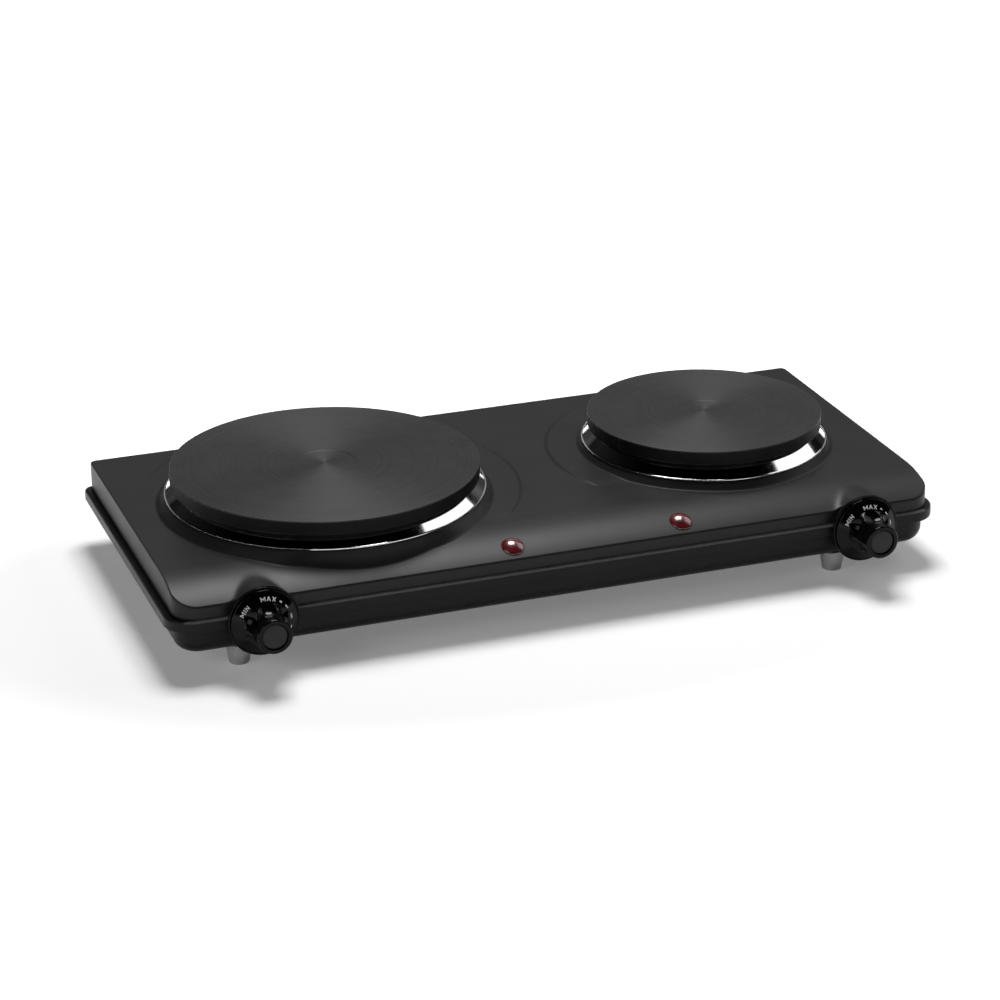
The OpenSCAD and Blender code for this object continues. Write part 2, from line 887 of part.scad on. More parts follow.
// Turning shaft with a flat on its outer end
module thermostat_shaft(side) {
    color([0.78, 0.78, 0.8]) at_knob(side) difference() {
        rod_y(shaft_r, shaft_end_y, shaft_back_y);
        translate([-shaft_r, shaft_end_y - 1, flat_off]) cube([2 * shaft_r, flat_l + 1, shaft_r]);
    }
}

module thermostat_shaft_left() {
    placed() thermostat_shaft(-1);
}

module thermostat_shaft_right() {
    placed() thermostat_shaft(1);
}

module bush_nuts() {
    color([0.75, 0.75, 0.72]) placed() for (side = [-1, 1]) at_knob(side)
        translate([0, dial_front_y, 0]) rotate([90, 0, 0]) difference() {
            hexagon(bush_nut_af, bush_nut_h);
            translate([0, 0, -1]) cylinder(h = bush_nut_h + 2, r = bushing_r + thread_clear);
        }
}

// Round plate behind a knob, with a thin lip around the knob's skirt
module dial_plate(side) {
    color([0.04, 0.04, 0.04]) at_knob(side) difference() {
        rod_y(dial_r, boss_front_y, dial_front_y - dial_lip_h);
        rod_y(dial_r - dial_lip_t, dial_front_y, dial_front_y - dial_lip_h - 1);
        rod_y(bushing_r + gap / 2, boss_front_y + 1, dial_front_y - 1);
    }
}

module dial_plate_left() {
    placed() dial_plate(-1);
}

module dial_plate_right() {
    placed() dial_plate(1);
}

// Flared grip seen from the side: radius against distance from the skirt.
// The flare is a run of short cones that lean in less and less.
module grip_profile() {
    steps = 6;
    flare_l = grip_l * 0.8;
    flare_w = grip_root_r - grip_front_r;
    flare = [for (k = [0 : steps]) [grip_front_r + flare_w * pow(1 - k / steps, 2), flare_l * k / steps]];
    polygon(concat([[0, 0]], flare, [[grip_front_r, grip_l], [0, grip_l]]));
}

// Grip with oval finger flutes between the skirt and the front ring
module grip() {
    difference() {
        rotate_extrude() grip_profile();
        for (k = [0 : flute_n - 1])
            rotate([0, 0, (k + 0.5) * 360 / flute_n])
                translate([grip_front_r + flute_out, 0, flute_mid]) sphere(flute_r, $fn = 64);
    }
}

module knob(side) {
    color([0.02, 0.02, 0.02]) at_knob(side) difference() {
        union() {
            rod_y(skirt_r, skirt_back_y, skirt_front_y);
            translate([0, skirt_front_y + eps, 0]) rotate([90, 0, 0]) grip();
        }
        // Room for the bushing nut, then the socket for the shaft
        rod_y(nut_room_r, skirt_back_y + 1, skirt_back_y - nut_room_l);
        difference() {
            rod_y(shaft_r + socket_clear, skirt_back_y, shaft_end_y - gap);
            translate([-shaft_r - 1, shaft_end_y - 1, flat_off + socket_clear])
                cube([2 * shaft_r + 2, flat_l - 1, shaft_r + 1]);
        }
        rod_y(cap_r, knob_front_y - 1, knob_front_y + cap_depth);
    }
}

module knob_left() {
    placed() knob(-1);
}

module knob_right() {
    placed() knob(1);
}

// Cap that closes the front of a knob, set a little below its rim
module knob_cap(side) {
    color([0.16, 0.16, 0.16]) at_knob(side)
        rod_y(cap_r - socket_clear, knob_front_y + cap_depth, knob_front_y + cap_depth - cap_t);
}

module knob_cap_left() {
    placed() knob_cap(-1);
}

module knob_cap_right() {
    placed() knob_cap(1);
}

// ------------------------------------------------------------ pilot lamps

// Domed lens with a neck through the cover
module lamp_lens() {
    dome_h = lens_h - lens_flange_h;
    dome_r = (lens_r * lens_r + dome_h * dome_h) / (2 * dome_h);
    color([0.5, 0.03, 0.05]) union() {
        cylinder(h = lens_flange_h, r = lens_r);
        intersection() {
            translate([0, 0, lens_h - dome_r]) sphere(dome_r);
            cylinder(h = lens_h + 1, r = lens_r);
        }
        translate([0, 0, -lens_neck_l]) cylinder(h = lens_neck_l + eps, r = lamp_hole_r - gap / 2);
    }
}

module lamp_body() {
    color([0.9, 0.9, 0.88]) translate([0, 0, -lens_neck_l - lamp_body_l])
        cylinder(h = lamp_body_l, r = lamp_body_r);
}

module lamp_lens_left() {
    placed() at_lamp(lamp_left_x) lamp_lens();
}

module lamp_lens_right() {
    placed() at_lamp(lamp_right_x) lamp_lens();
}

module lamp_body_left() {
    placed() at_lamp(lamp_left_x) lamp_body();
}

module lamp_body_right() {
    placed() at_lamp(lamp_right_x) lamp_body();
}

// Spring clips that hold the lenses from inside
module lamp_clips() {
    color([0.75, 0.75, 0.75]) placed() for (x = [lamp_left_x, lamp_right_x])
        at_lamp(x) translate([0, 0, -sheet - clip_sag - gap / 2 - clip_t]) difference() {
            cylinder(h = clip_t, r = clip_r);
            translate([0, 0, -1]) cylinder(h = clip_t + 2, r = lamp_hole_r - gap / 2);
        }
}

// ------------------------------------------------- posts, screws and feet

module cover_posts() {
    color([0.75, 0.75, 0.74]) placed() at_posts() translate([0, 0, floor_top_z]) difference() {
        cylinder(h = ceiling_z - floor_top_z, r = post_r);
        translate([0, 0, -1]) cylinder(h = screw_l + 2, r = post_hole_r + thread_clear);
    }
}

module tray_screws() {
    color([0.7, 0.7, 0.7]) placed() at_posts() difference() {
        union() {
            translate([0, 0, tray_z - screw_head_h]) cylinder(h = screw_head_h, r = screw_head_r);
            translate([0, 0, tray_z - eps]) cylinder(h = screw_l, r = post_hole_r);
        }
        translate([0, 0, tray_z - screw_head_h]) mirror([0, 0, 1]) cross_recess(4);
    }
}

module foot() {
    color([0.62, 0.62, 0.62]) difference() {
        cylinder(h = foot_h, r1 = foot_bottom_r, r2 = foot_top_r);
        translate([0, 0, -1]) cylinder(h = foot_h + 2, r = foot_screw_r + gap / 2);
        translate([0, 0, -1]) cylinder(h = foot_counterbore + 1, r = foot_head_r + gap);
    }
}

module foot_front_left() {
    placed() translate([foot_left_x, -foot_y, 0]) foot();
}

module foot_front_right() {
    placed() translate([foot_right_x, -foot_y, 0]) foot();
}

module foot_back_left() {
    placed() translate([foot_left_x, foot_y, 0]) foot();
}

module foot_back_right() {
    placed() translate([foot_right_x, foot_y, 0]) foot();
}

module foot_screws() {
    tip_z = floor_top_z + foot_nut_h + 1;
    color([0.72, 0.72, 0.72]) placed() at_feet() difference() {
        union() {
            translate([0, 0, foot_counterbore - foot_head_h])
                cylinder(h = foot_head_h, r = foot_head_r);
            translate([0, 0, foot_counterbore - eps])
                cylinder(h = tip_z - foot_counterbore, r = foot_screw_r);
        }
        translate([0, 0, foot_counterbore - foot_head_h]) mirror([0, 0, 1]) cross_recess(4.4);
    }
}

module foot_nuts() {
    color([0.72, 0.72, 0.7]) placed() at_feet() translate([0, 0, floor_top_z]) difference() {
        hexagon(foot_nut_af, foot_nut_h);
        translate([0, 0, -1]) cylinder(h = foot_nut_h + 2, r = foot_screw_r + thread_clear);
    }
}

// ---------------------------------------------- cord inlet and mains parts

module cord_bushing() {
    nose_y = back_y + bushing_flange_t + bushing_nose;
    inner_y = back_y - sheet - bushing_inner_t;
    color([0.05, 0.05, 0.05]) placed() translate([inlet_x, 0, inlet_z]) difference() {
        union() {
            rod_y(bushing_flange_r, back_y, back_y + bushing_flange_t);
            translate([0, nose_y, 0]) rotate([90, 0, 0])
                cylinder(h = bushing_nose, r1 = cord_hole_r + 1.6, r2 = cord_hole_r + 2.4);
            rod_y(bushing_neck_r - gap / 3, inner_y - inlet_tail, back_y + eps);
            rod_y(bushing_flange_r - 0.6, inner_y, inner_y + bushing_inner_t);
        }
        rod_y(cord_hole_r, inner_y - inlet_tail - 1, nose_y + 1);
    }
}

module mains_terminal_block() {
    color([0.93, 0.93, 0.9]) placed() translate([mains_x, mains_y, ceiling_z - mains_h])
        difference() {
            translate([-mains_l / 2, -mains_w / 2, 0]) cube([mains_l, mains_w, mains_h]);
            for (k = [-1, 0, 1])
                for (s = [-1, 1])
                    translate([k * mains_pitch, s * mains_w / 4, -1])
                        cylinder(h = pin_hole_l, r = pin_hole_r);
        }
}

module mains_terminal_screws() {
    color([0.8, 0.65, 0.3]) placed() translate([mains_x, mains_y, ceiling_z - mains_h])
        for (k = [-1, 0, 1])
            for (s = [-1, 1])
                translate([k * mains_pitch, s * mains_w / 4, pin_sink])
                    cylinder(h = pin_hole_l - pin_sink - 1, r = pin_hole_r - 0.2);
}

module earth_stud() {
    color([0.75, 0.75, 0.74]) placed() translate([earth_x, earth_y, 0]) {
        translate([0, 0, ceiling_z - earth_stud_l]) cylinder(h = earth_stud_l, r = stud_r - 1);
        translate([0, 0, ceiling_z - 1 - foot_nut_h]) difference() {
            hexagon(foot_nut_af, foot_nut_h);
            translate([0, 0, -1]) cylinder(h = foot_nut_h + 2, r = stud_r - 1 + thread_clear);
        }
    }
}

module earth_tab() {
    color([0.8, 0.65, 0.3]) placed() translate([earth_x, earth_y, ceiling_z - 1]) difference() {
        union() {
            cylinder(h = 1, r = 4.5);
            translate([0, -2.2, 0]) cube([14, 4.4, 1]);
        }
        translate([0, 0, -1]) cylinder(h = 3, r = stud_r - 1 + gap / 2);
    }
}

// ------------------------------------------------------------------ wires

// Wire ends: the underside of a plate's tab k, and the back of a thermostat's tab k
function plate_tab(x, k) = [x + k * tab_pitch, plate_y + block_off, block_z - tab_l];
function thermo_tab(side, k) =
    [side * knob_x + k * thermostat_tab_x, thermostat_y + thermostat_l + thermostat_tab_l, axis_z];
function mains_pin(k, s) =
    [mains_x + k * mains_pitch, mains_y + s * mains_w / 4, ceiling_z - mains_h + pin_sink];
function at_z(p, z) = [p[0], p[1], z];

// From a mains screw down, across at height z and up the lane x = lane to a thermostat
function run_to_thermostat(a, b, lane, z) =
    [a, at_z(a, z), [lane, a[1], z], [lane, b[1] + 8, z], [b[0], b[1] + 8, z], [b[0], b[1] + 8, b[2]], b];

function run_to_plate(a, b, z) = [a, at_z(a, z), [b[0], a[1], z], at_z(b, z), b];

module wires_live() {
    color([0.45, 0.25, 0.12]) placed() {
        wire(run_to_thermostat(mains_pin(-1, -1), thermo_tab(-1, 1), -6, wire_low_z), wire_r);
        wire(run_to_thermostat(mains_pin(1, -1), thermo_tab(1, -1), 30, wire_low_z), wire_r);
    }
}

module wires_switched() {
    color([0.1, 0.1, 0.1]) placed() for (side = [-1, 1]) {
        a = thermo_tab(side, side);
        b = plate_tab(side < 0 ? large_x : small_x, -1);
        lane = b[1] - 8;
        wire([a, [a[0], lane, a[2]], [b[0], lane, a[2]], [b[0], b[1], a[2]], b], wire_r);
    }
}

module wires_neutral() {
    color([0.15, 0.3, 0.65]) placed() {
        wire(run_to_plate(mains_pin(-1, 1), plate_tab(large_x, 1), wire_mid_z), wire_r);
        wire(run_to_plate(mains_pin(1, 1), plate_tab(small_x, 1), wire_mid_z), wire_r);
    }
}

module wire_earth() {
    a = mains_pin(0, 1);
    b = [earth_x + 12, earth_y, ceiling_z - 1];
    color([0.4, 0.6, 0.15]) placed()
        wire([a, at_z(a, wire_high_z), [a[0], b[1], wire_high_z], at_z(b, wire_high_z), b], wire_r);
}

module lamp_leads() {
    drop = lens_neck_l + lamp_body_l;
    color([0.75, 0.75, 0.78]) placed() for (x = [lamp_left_x, lamp_right_x]) {
        far = x < 0 ? large_x : small_x;
        for (s = [-1, 1]) {
            b = plate_tab(far, s);
            base = [x + s * 2, lamp_y + drop * sin(lamp_tilt), lamp_z - drop * cos(lamp_tilt)];
            z = wire_low_z - 5 - s;
            wire([base, [base[0], base[1] + 3, z], [base[0], base[1] + 16 + 6 * s, z],
                  [b[0] + 3 * s, base[1] + 16 + 6 * s, z], [b[0] + 3 * s, b[1], z],
                  [b[0] + 2 * s, b[1], b[2]]], lead_r);
        }
    }
}

top_cover();
base_tray();
hotplate_large();
hotplate_small();
spill_ring_large();
spill_ring_small();
heating_core_large();
heating_core_small();
heating_coils_large();
heating_coils_small();
heat_shield_large();
heat_shield_small();
clamp_bridge_large();
clamp_bridge_small();
plate_studs();
stud_washers();
stud_nuts();
plate_terminal_large();
plate_terminal_small();
plate_terminal_tabs();
thermostat_left();
thermostat_right();
thermostat_tabs();
thermostat_shaft_left();
thermostat_shaft_right();
bush_nuts();
dial_plate_left();
dial_plate_right();
knob_left();
knob_right();
knob_cap_left();
knob_cap_right();
lamp_lens_left();
lamp_lens_right();
lamp_body_left();
lamp_body_right();
lamp_clips();
cover_posts();
tray_screws();
foot_front_left();
foot_front_right();
foot_back_left();
foot_back_right();
foot_screws();
foot_nuts();
cord_bushing();
mains_terminal_block();
mains_terminal_screws();
earth_stud();
earth_tab();
wires_live();
wires_switched();
wires_neutral();
wire_earth();
lamp_leads();
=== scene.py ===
"""Looks of a two-plate electric hot plate burner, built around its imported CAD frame.

Lengths are in millimetres until a mesh, a lamp or a shader is made. Heights, centres and
radii come from the CAD nodes.
"""
import math

import bpy
import numpy as np
from mathutils import Matrix, Vector
from mathutils.geometry import delaunay_2d_cdt


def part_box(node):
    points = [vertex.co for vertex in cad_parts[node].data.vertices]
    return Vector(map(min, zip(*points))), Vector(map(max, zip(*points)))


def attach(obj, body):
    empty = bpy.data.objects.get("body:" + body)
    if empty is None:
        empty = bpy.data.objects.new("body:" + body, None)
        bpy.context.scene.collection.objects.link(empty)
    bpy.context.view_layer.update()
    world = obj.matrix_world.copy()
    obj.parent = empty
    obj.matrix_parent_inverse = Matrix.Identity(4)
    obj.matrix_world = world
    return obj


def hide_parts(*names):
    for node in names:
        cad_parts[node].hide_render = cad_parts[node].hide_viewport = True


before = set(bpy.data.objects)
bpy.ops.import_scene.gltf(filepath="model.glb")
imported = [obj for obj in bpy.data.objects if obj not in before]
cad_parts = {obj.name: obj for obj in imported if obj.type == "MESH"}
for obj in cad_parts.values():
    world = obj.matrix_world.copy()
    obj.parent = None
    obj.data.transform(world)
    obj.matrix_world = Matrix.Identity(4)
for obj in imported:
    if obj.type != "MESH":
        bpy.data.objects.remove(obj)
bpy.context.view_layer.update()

MM = 0.001
HOUSING = "housing"
SIDES = ("left", "right")


# ---- places
def cad_box(node):
    """Lowest and highest corner of a CAD node, in millimetres."""
    low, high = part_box(node)
    return np.array(low) / MM, np.array(high) / MM


def cad_middle(node):
    """Middle of a CAD node's box."""
    low, high = cad_box(node)
    return (low + high) / 2


def cad_radius(node):
    """Radius of a CAD node that is round about Y or Z."""
    low, high = cad_box(node)
    return (high[0] - low[0]) / 2


# Cover: plan, sheet, rounded edge, and the arc that rolls its front down
COVER_W = 470.0
COVER_D = 216.0
SHEET = 0.8
FRONT_CORNER_R = 14.0
BACK_CORNER_R = 4.0
EDGE_R = 0.9
ROLL_RUN = 36.0
ROLL_DROP = 9.7
ROLL_R = (ROLL_RUN ** 2 + ROLL_DROP ** 2) / (2 * ROLL_DROP)
PLATE_RISE = 22.5

BACK_Y = cad_box("top_cover")[1][1]
FRONT_Y = BACK_Y - COVER_D
MID_Y = (FRONT_Y + BACK_Y) / 2
ROLL_Y = FRONT_Y + ROLL_RUN
PLATE_TOP_Z = cad_box("hotplate_large")[1][2]
TOP_Z = PLATE_TOP_Z - PLATE_RISE
SEAM_Z = cad_box("base_tray")[1][2]
FLOOR_Z = cad_box("foot_front_left")[1][2]

# Base tray: a flange band around the seam above a set-in lower wall
FLANGE_H = 7.2
FLANGE_OUT_SIDE = 4.5
FLANGE_OUT_FRONT = 2.3
FLANGE_TOP_R = 1.7
FLANGE_EDGE_R = 0.9
FLANGE_LEDGE = (5.2, 2.2)
TRAY_FILLET = 1.2
TRAY_INSET_SIDE = 5.5
TRAY_INSET_FRONT = 3.8
TRAY_CORNER_R = 14.5
TRAY_EDGE_R = 9.0

# Plans: width, depth, radius of the front corners and of the back ones
COVER_PLAN = (COVER_W, COVER_D, FRONT_CORNER_R, BACK_CORNER_R)
FLANGE_PLAN = (COVER_W + 2 * FLANGE_OUT_SIDE, COVER_D + 2 * FLANGE_OUT_FRONT,
               FRONT_CORNER_R + (FLANGE_OUT_SIDE + FLANGE_OUT_FRONT) / 2,
               BACK_CORNER_R + FLANGE_OUT_FRONT)
TRAY_PLAN = (FLANGE_PLAN[0] - 2 * TRAY_INSET_SIDE, FLANGE_PLAN[1] - 2 * TRAY_INSET_FRONT,
             TRAY_CORNER_R, TRAY_CORNER_R)
CORNER_STEPS = 14
SIDE_STEPS = (30, 60, 30, 60)

PLATE_RIM_H = 8.5
PLATE_UNDER_Z = PLATE_TOP_Z - PLATE_RIM_H
RIM_OUT = 3.1
RIM_BLEND = 0.9
COLLAR_SLOPE = 5.4 / 6.5
OPENING_IN = 4.5
PLATES = {
    "large": {"recess_r": 19.0, "collar_h": 6.5, "segments": 300},
    "small": {"recess_r": 16.5, "collar_h": 5.0, "segments": 260},
}
for plate_name, plate in PLATES.items():
    plate["x"], plate["y"] = cad_middle("hotplate_" + plate_name)[:2]
    plate["r"] = cad_radius("hotplate_" + plate_name)
    plate["rim_r"] = plate["r"] + RIM_OUT
    plate["base_r"] = plate["rim_r"] + COLLAR_SLOPE * plate["collar_h"]

# Over the roll the collars are steeper and blend more widely
BLEND_DROP = 3.0
COLLAR_STEEPER = 0.72
COLLAR_BLEND = 1.1
COLLAR_BLEND_ROLL = 5.5

# Crescents: radius, tilt in degrees and its direction, offset from the plate, slope of the
# flank, and where they start to fade towards the front
STEP_H = 0.35
STEP_FADE = 0.004
STEP_SPARE = 1.6
STEP_BLEND = 0.12
STEP_SHOWS = 0.45
STEP_SEGMENTS = 420
CRESCENTS = {
    "large": {"r": 114.0, "tilt": 0.85, "towards": 50.0, "off": (4.0, 6.0), "flank": 0.46,
              "fade_y": ROLL_Y + 12},
    "small": {"r": 97.0, "tilt": 0.42, "towards": 150.0, "off": (0.0, 0.0), "flank": 0.45,
              "fade_y": -16.0},
}
for plate_name, step in CRESCENTS.items():
    step["x"] = PLATES[plate_name]["x"] + step["off"][0]
    step["y"] = PLATES[plate_name]["y"] + step["off"][1]

# Knob and dial axes, their boss, and the hump that joins the boss to the roll
KNOB_FRONT_Y, KNOB_BACK_Y = (corner[1] for corner in cad_box("knob_left"))
DIAL_FRONT_Y, DIAL_BACK_Y = (corner[1] for corner in cad_box("dial_plate_left"))
KNOB_X = {side: cad_middle("dial_plate_" + side)[0] for side in SIDES}
AXIS_Z = cad_middle("dial_plate_left")[2]
DIAL_R = cad_radius("dial_plate_left")
SKIRT_R = cad_radius("knob_left")
CAP_R = cad_radius("knob_cap_left")
BOSS_R = TOP_Z - AXIS_Z
HUMP_R = BOSS_R - 2.9
HUMP_WALL = 60
HUMP_BACK = 2

LAMP_HOLE_R = 5.2
LAMP_BACK = 9.2


# ---- meshes
def unit(v):
    """Vectors divided by their length."""
    v = np.asarray(v, float)
    return v / np.maximum(np.linalg.norm(v, axis=-1, keepdims=True), 1e-12)


def area_normals(verts, faces):
    """Vertex normals weighted by face area, so that flats beside fillets stay flat."""
    t = []
    for f in faces:
        t.append((f[0], f[1], f[2]))
        if len(f) == 4:
            t.append((f[0], f[2], f[3]))
    t = np.array(t)
    n = np.cross(verts[t[:, 1]] - verts[t[:, 0]], verts[t[:, 2]] - verts[t[:, 0]])
    total = np.zeros_like(verts)
    for k in range(3):
        np.add.at(total, t[:, k], n)
    return unit(total)


def place_in_scene(name, data):
    """New object of some data, linked to the scene."""
    made = bpy.data.objects.new(name, data)
    bpy.context.scene.collection.objects.link(made)
    return made


def make_mesh(name, verts, faces, slot, material=None, body=HOUSING, normals=None):
    """One smooth piece on a body, in the finish of its slot unless a material is given."""
    verts = np.asarray(verts, float)
    if normals is None:
        normals = area_normals(verts, faces)
    mesh = bpy.data.meshes.new(name)
    mesh.from_pydata((verts * MM).tolist(), [], [tuple(int(i) for i in f) for f in faces])
    mesh.materials.append(material or FINISH[slot])
    mesh.polygons.foreach_set("use_smooth", [True] * len(mesh.polygons))
    mesh.update()
    mesh.normals_split_custom_set_from_vertices(unit(normals).tolist())
    piece = place_in_scene(name, mesh)
    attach(piece, body)
    return piece


def ring_faces(a, b, n):
    """Quads between two closed rings of n points that start at indices a and b."""
    return [(a + i, a + (i + 1) % n, b + (i + 1) % n, b + i) for i in range(n)]


def turned_over(faces):
    """Faces that look the other way."""
    return [tuple(reversed(f)) for f in faces]


def fan(start, n, tip, under):
    """Triangles from a ring of n points to the point with the index tip."""
    pairs = [(start + i, start + (i + 1) % n) for i in range(n)]
    return [(tip, b, a) if under else (tip, a, b) for a, b in pairs]


def loft(rings, capped=False, loop=False):
    """Skin over closed rings.

    Caps are fans to the middles of the end rings; a loop joins the last ring to the first.
    """
    n, last = len(rings[0]), (len(rings) - 1) * len(rings[0])
    faces = []
    for k in range(len(rings) - 1):
        faces += ring_faces(k * n, (k + 1) * n, n)
    verts = np.vstack([np.asarray(r, float) for r in rings])
    if capped:
        for start in (0, last):
            faces += fan(start, n, len(verts), under=start == 0)
            verts = np.vstack([verts, verts[start:start + n].mean(0)])
    return verts, faces + (ring_faces(last, 0, n) if loop else [])


def fillet_profile(points, steps=5):
    """Outline of (r, z) or (r, z, fillet) points with each fillet drawn as an arc."""
    out = []
    pts = [np.array(p[:2], float) for p in points]
    for i, p in enumerate(points):
        if len(p) == 2:
            out.append(pts[i])
            continue
        radius = p[2]
        a, b = unit(pts[i - 1] - pts[i]), unit(pts[i + 1] - pts[i])
        half = math.acos(float(np.clip(a @ b, -1, 1))) / 2
        reach = radius / math.tan(half)
        centre = pts[i] + unit(a + b) * radius / math.sin(half)
        start, end = pts[i] + a * reach, pts[i] + b * reach
        u, w = (start - centre) / radius, (end - centre) / radius
        turn = math.acos(float(np.clip(u @ w, -1, 1)))
        for k in range(steps + 1):
            t = k / steps
            arc = u * math.sin((1 - t) * turn) + w * math.sin(t * turn)
            out.append(centre + radius * arc / math.sin(turn))
    return np.array(out)


def level_ring(r, z, n):
    """Circle of n points about Z."""
    a = np.linspace(0, 2 * math.pi, n, endpoint=False)
    return np.stack([r * np.cos(a), r * np.sin(a), np.full(n, z)], 1)


def revolve(profile, segments, loop=False):
    """Skin of a profile of (r, z) turned about Z; a first or last point at r = 0 closes it."""
    profile = np.asarray(profile, float)
    open_first, open_last = profile[0, 0] > 1e-6, profile[-1, 0] > 1e-6
    body = profile[0 if open_first else 1:len(profile) if open_last else -1]
    verts, faces = loft([level_ring(r, z, segments) for r, z in body], loop=loop)
    last = (len(body) - 1) * segments
    for point, is_open, start in ((profile[0], open_first, 0), (profile[-1], open_last, last)):
        if not is_open:
            faces += fan(start, segments, len(verts), under=start == 0)
            verts = np.vstack([verts, [0, 0, point[1]]])
    return verts, faces


def placed(verts, matrix):
    """Points moved by a 4x4 matrix."""
    m = np.array(matrix)
    return verts @ m[:3, :3].T + m[:3, 3]


def open_edges(faces):
    """Directed edges that only one face has, in the order of the faces."""
    edges = dict.fromkeys((a, b) for f in faces for a, b in zip(f, (*f[1:], f[0])))
    return [(a, b) for a, b in edges if (b, a) not in edges]


def thicken(verts, faces, normals, t):
    """Closed shell: a skin, a copy moved in by t, and strips along the open edges."""
    n = len(verts)
    inner = [tuple(n + i for i in reversed(f)) for f in faces]
    strips = [(b, a, n + a, n + b) for a, b in open_edges(faces)]
    return (np.vstack([verts, verts - normals * t]), list(faces) + inner + strips,
            np.vstack([normals, -normals]))


def triangulate(outlines, keep, free=()):
    """Triangles over closed outlines and free points, kept where keep(centres) is true."""
    edges, start = [], 0
    for loop in outlines:
        edges += [(start + i, start + (i + 1) % len(loop)) for i in range(len(loop))]
        start += len(loop)
    points = [Vector(p) for p in np.vstack([*outlines, *free])]
    made = delaunay_2d_cdt(points, edges, [], 0, 1e-5, False)
    flat = np.array([v[:] for v in made[0]])
    faces = np.array(made[2])
    inside = keep(flat[faces].mean(1))
    a, b, c = (flat[faces[:, k]] for k in range(3))
    twice = ((b[:, 0] - a[:, 0]) * (c[:, 1] - a[:, 1])
             - (b[:, 1] - a[:, 1]) * (c[:, 0] - a[:, 0]))
    faces = np.where(twice[:, None] < 0, faces[:, ::-1], faces)
    return flat, faces[inside & (np.abs(twice) > 1e-7)]


def plan_outline(plan, inset):
    """Counter-clockwise outline inside a plan, with its outward directions."""
    half_w, half_d = (plan[0] - 2 * inset) / 2, (plan[1] - 2 * inset) / 2
    arcs = []
    for k, (sx, sy) in enumerate(((1, -1), (1, 1), (-1, 1), (-1, -1))):
        r = (plan[2] if sy < 0 else plan[3]) - inset
        a = [math.radians(90 * (k - 1 + i / CORNER_STEPS)) for i in range(CORNER_STEPS + 1)]
        out = np.array([(math.cos(v), math.sin(v)) for v in a])
        arcs.append((out * r + (sx * (half_w - r), sy * (half_d - r)), out))
    points, normals = [], []
    for k, steps in enumerate(SIDE_STEPS):
        arc, out = arcs[k]
        end, start = arc[-1], arcs[(k + 1) % 4][0][0]
        t = (np.arange(1, steps) / steps)[:, None]
        points += [arc, end + (start - end) * t]
        normals += [out, np.repeat(out[-1:], len(t), 0)]
    return np.vstack(points) + (0, MID_Y), np.vstack(normals)


def plan_ring(plan, inset, z):
    """Outline inside a plan at a height."""
    p, _ = plan_outline(plan, inset)
    return np.column_stack([p, np.full(len(p), z)])


def inset_in_plan(p, plan):
    """How far inside a plan each point lies; negative outside."""
    y = p[:, 1] - MID_Y
    r = np.where(y < 0, plan[2], plan[3])
    q = np.stack([np.abs(p[:, 0]) - plan[0] / 2 + r, np.abs(y) - plan[1] / 2 + r], 1)
    outside = np.linalg.norm(np.maximum(q, 0), axis=1)
    return -(np.minimum(q.max(1), 0) + outside - r)


# ---- materials
FINISH = {}
NOISE_RANGE = (0.3, 0.7)


def new_material(name):
    """A new finish: its node tree and its surface shader."""
    FINISH[name] = bpy.data.materials.new(name)
    FINISH[name].use_nodes = True
    tree = FINISH[name].node_tree
    return tree, tree.nodes["Principled BSDF"]


def set_inputs(tree, node, inputs):
    """Links a node's inputs to sockets, or sets them to constants."""
    for key, value in inputs.items():
        if isinstance(value, bpy.types.NodeSocket):
            tree.links.new(value, node.inputs[key])
        else:
            node.inputs[key].default_value = value


def add_node(tree, kind, inputs):
    """New shader node with its inputs."""
    node = tree.nodes.new("ShaderNode" + kind)
    set_inputs(tree, node, inputs)
    return node


def own_place(tree, output="Object"):
    """Place in the piece's own space, in metres."""
    return tree.nodes.new("ShaderNodeTexCoord").outputs[output]


def add_noise(tree, scale, detail=3.0, roughness=0.5, stretch=None, along=None):
    """Noise in cycles per metre, in the piece's own space or along one measure."""
    noise = tree.nodes.new("ShaderNodeTexNoise")
    noise.noise_dimensions = "1D" if along else "3D"
    place = along or own_place(tree)
    if stretch:
        place = add_node(tree, "Mapping", {"Vector": place, "Scale": stretch}).outputs["Vector"]
    set_inputs(tree, noise, {"W" if along else "Vector": place, "Scale": scale,
                             "Detail": detail, "Roughness": roughness})
    return noise.outputs["Fac"]


def add_range(tree, value, low, high, span=NOISE_RANGE):
    """Maps a value in a span, by default a noise, to a range."""
    return add_node(tree, "MapRange", {
        "Value": value, "From Min": span[0], "From Max": span[1], "To Min": low,
        "To Max": high}).outputs["Result"]


def add_math(tree, operation, *values):
    """Outcome of a math node of sockets and numbers."""
    node = tree.nodes.new("ShaderNodeMath")
    node.operation = operation
    set_inputs(tree, node, dict(enumerate(values)))
    return node.outputs["Value"]


def vector_math(tree, operation, *values):
    """Outcome of a vector math node of sockets and vectors."""
    node = tree.nodes.new("ShaderNodeVectorMath")
    node.operation = operation
    set_inputs(tree, node, dict(enumerate(values)))
    return node.outputs["Value" if operation in ("DOT_PRODUCT", "LENGTH") else "Vector"]


def add_ramp(tree, value, stops):
    """Colour ramp from (position, colour) stops."""
    ramp = add_node(tree, "ValToRGB", {"Fac": value})
    while len(ramp.color_ramp.elements) < len(stops):
        ramp.color_ramp.elements.new(0.5)
    for element, (pos, colour) in zip(ramp.color_ramp.elements, stops):
        element.position = pos
        element.color = (*colour, 1)
    return ramp.outputs["Color"]


def grey_ramp(tree, value, stops):
    """Ramp from (position, grey) stops."""
    return add_ramp(tree, value, [(pos, (grey, grey, grey)) for pos, grey in stops])


def mottled(tree, noise, dark, light):
    """Colour between a dark and a light one, by a noise."""
    return add_ramp(tree, noise, list(zip(NOISE_RANGE, (dark, light))))


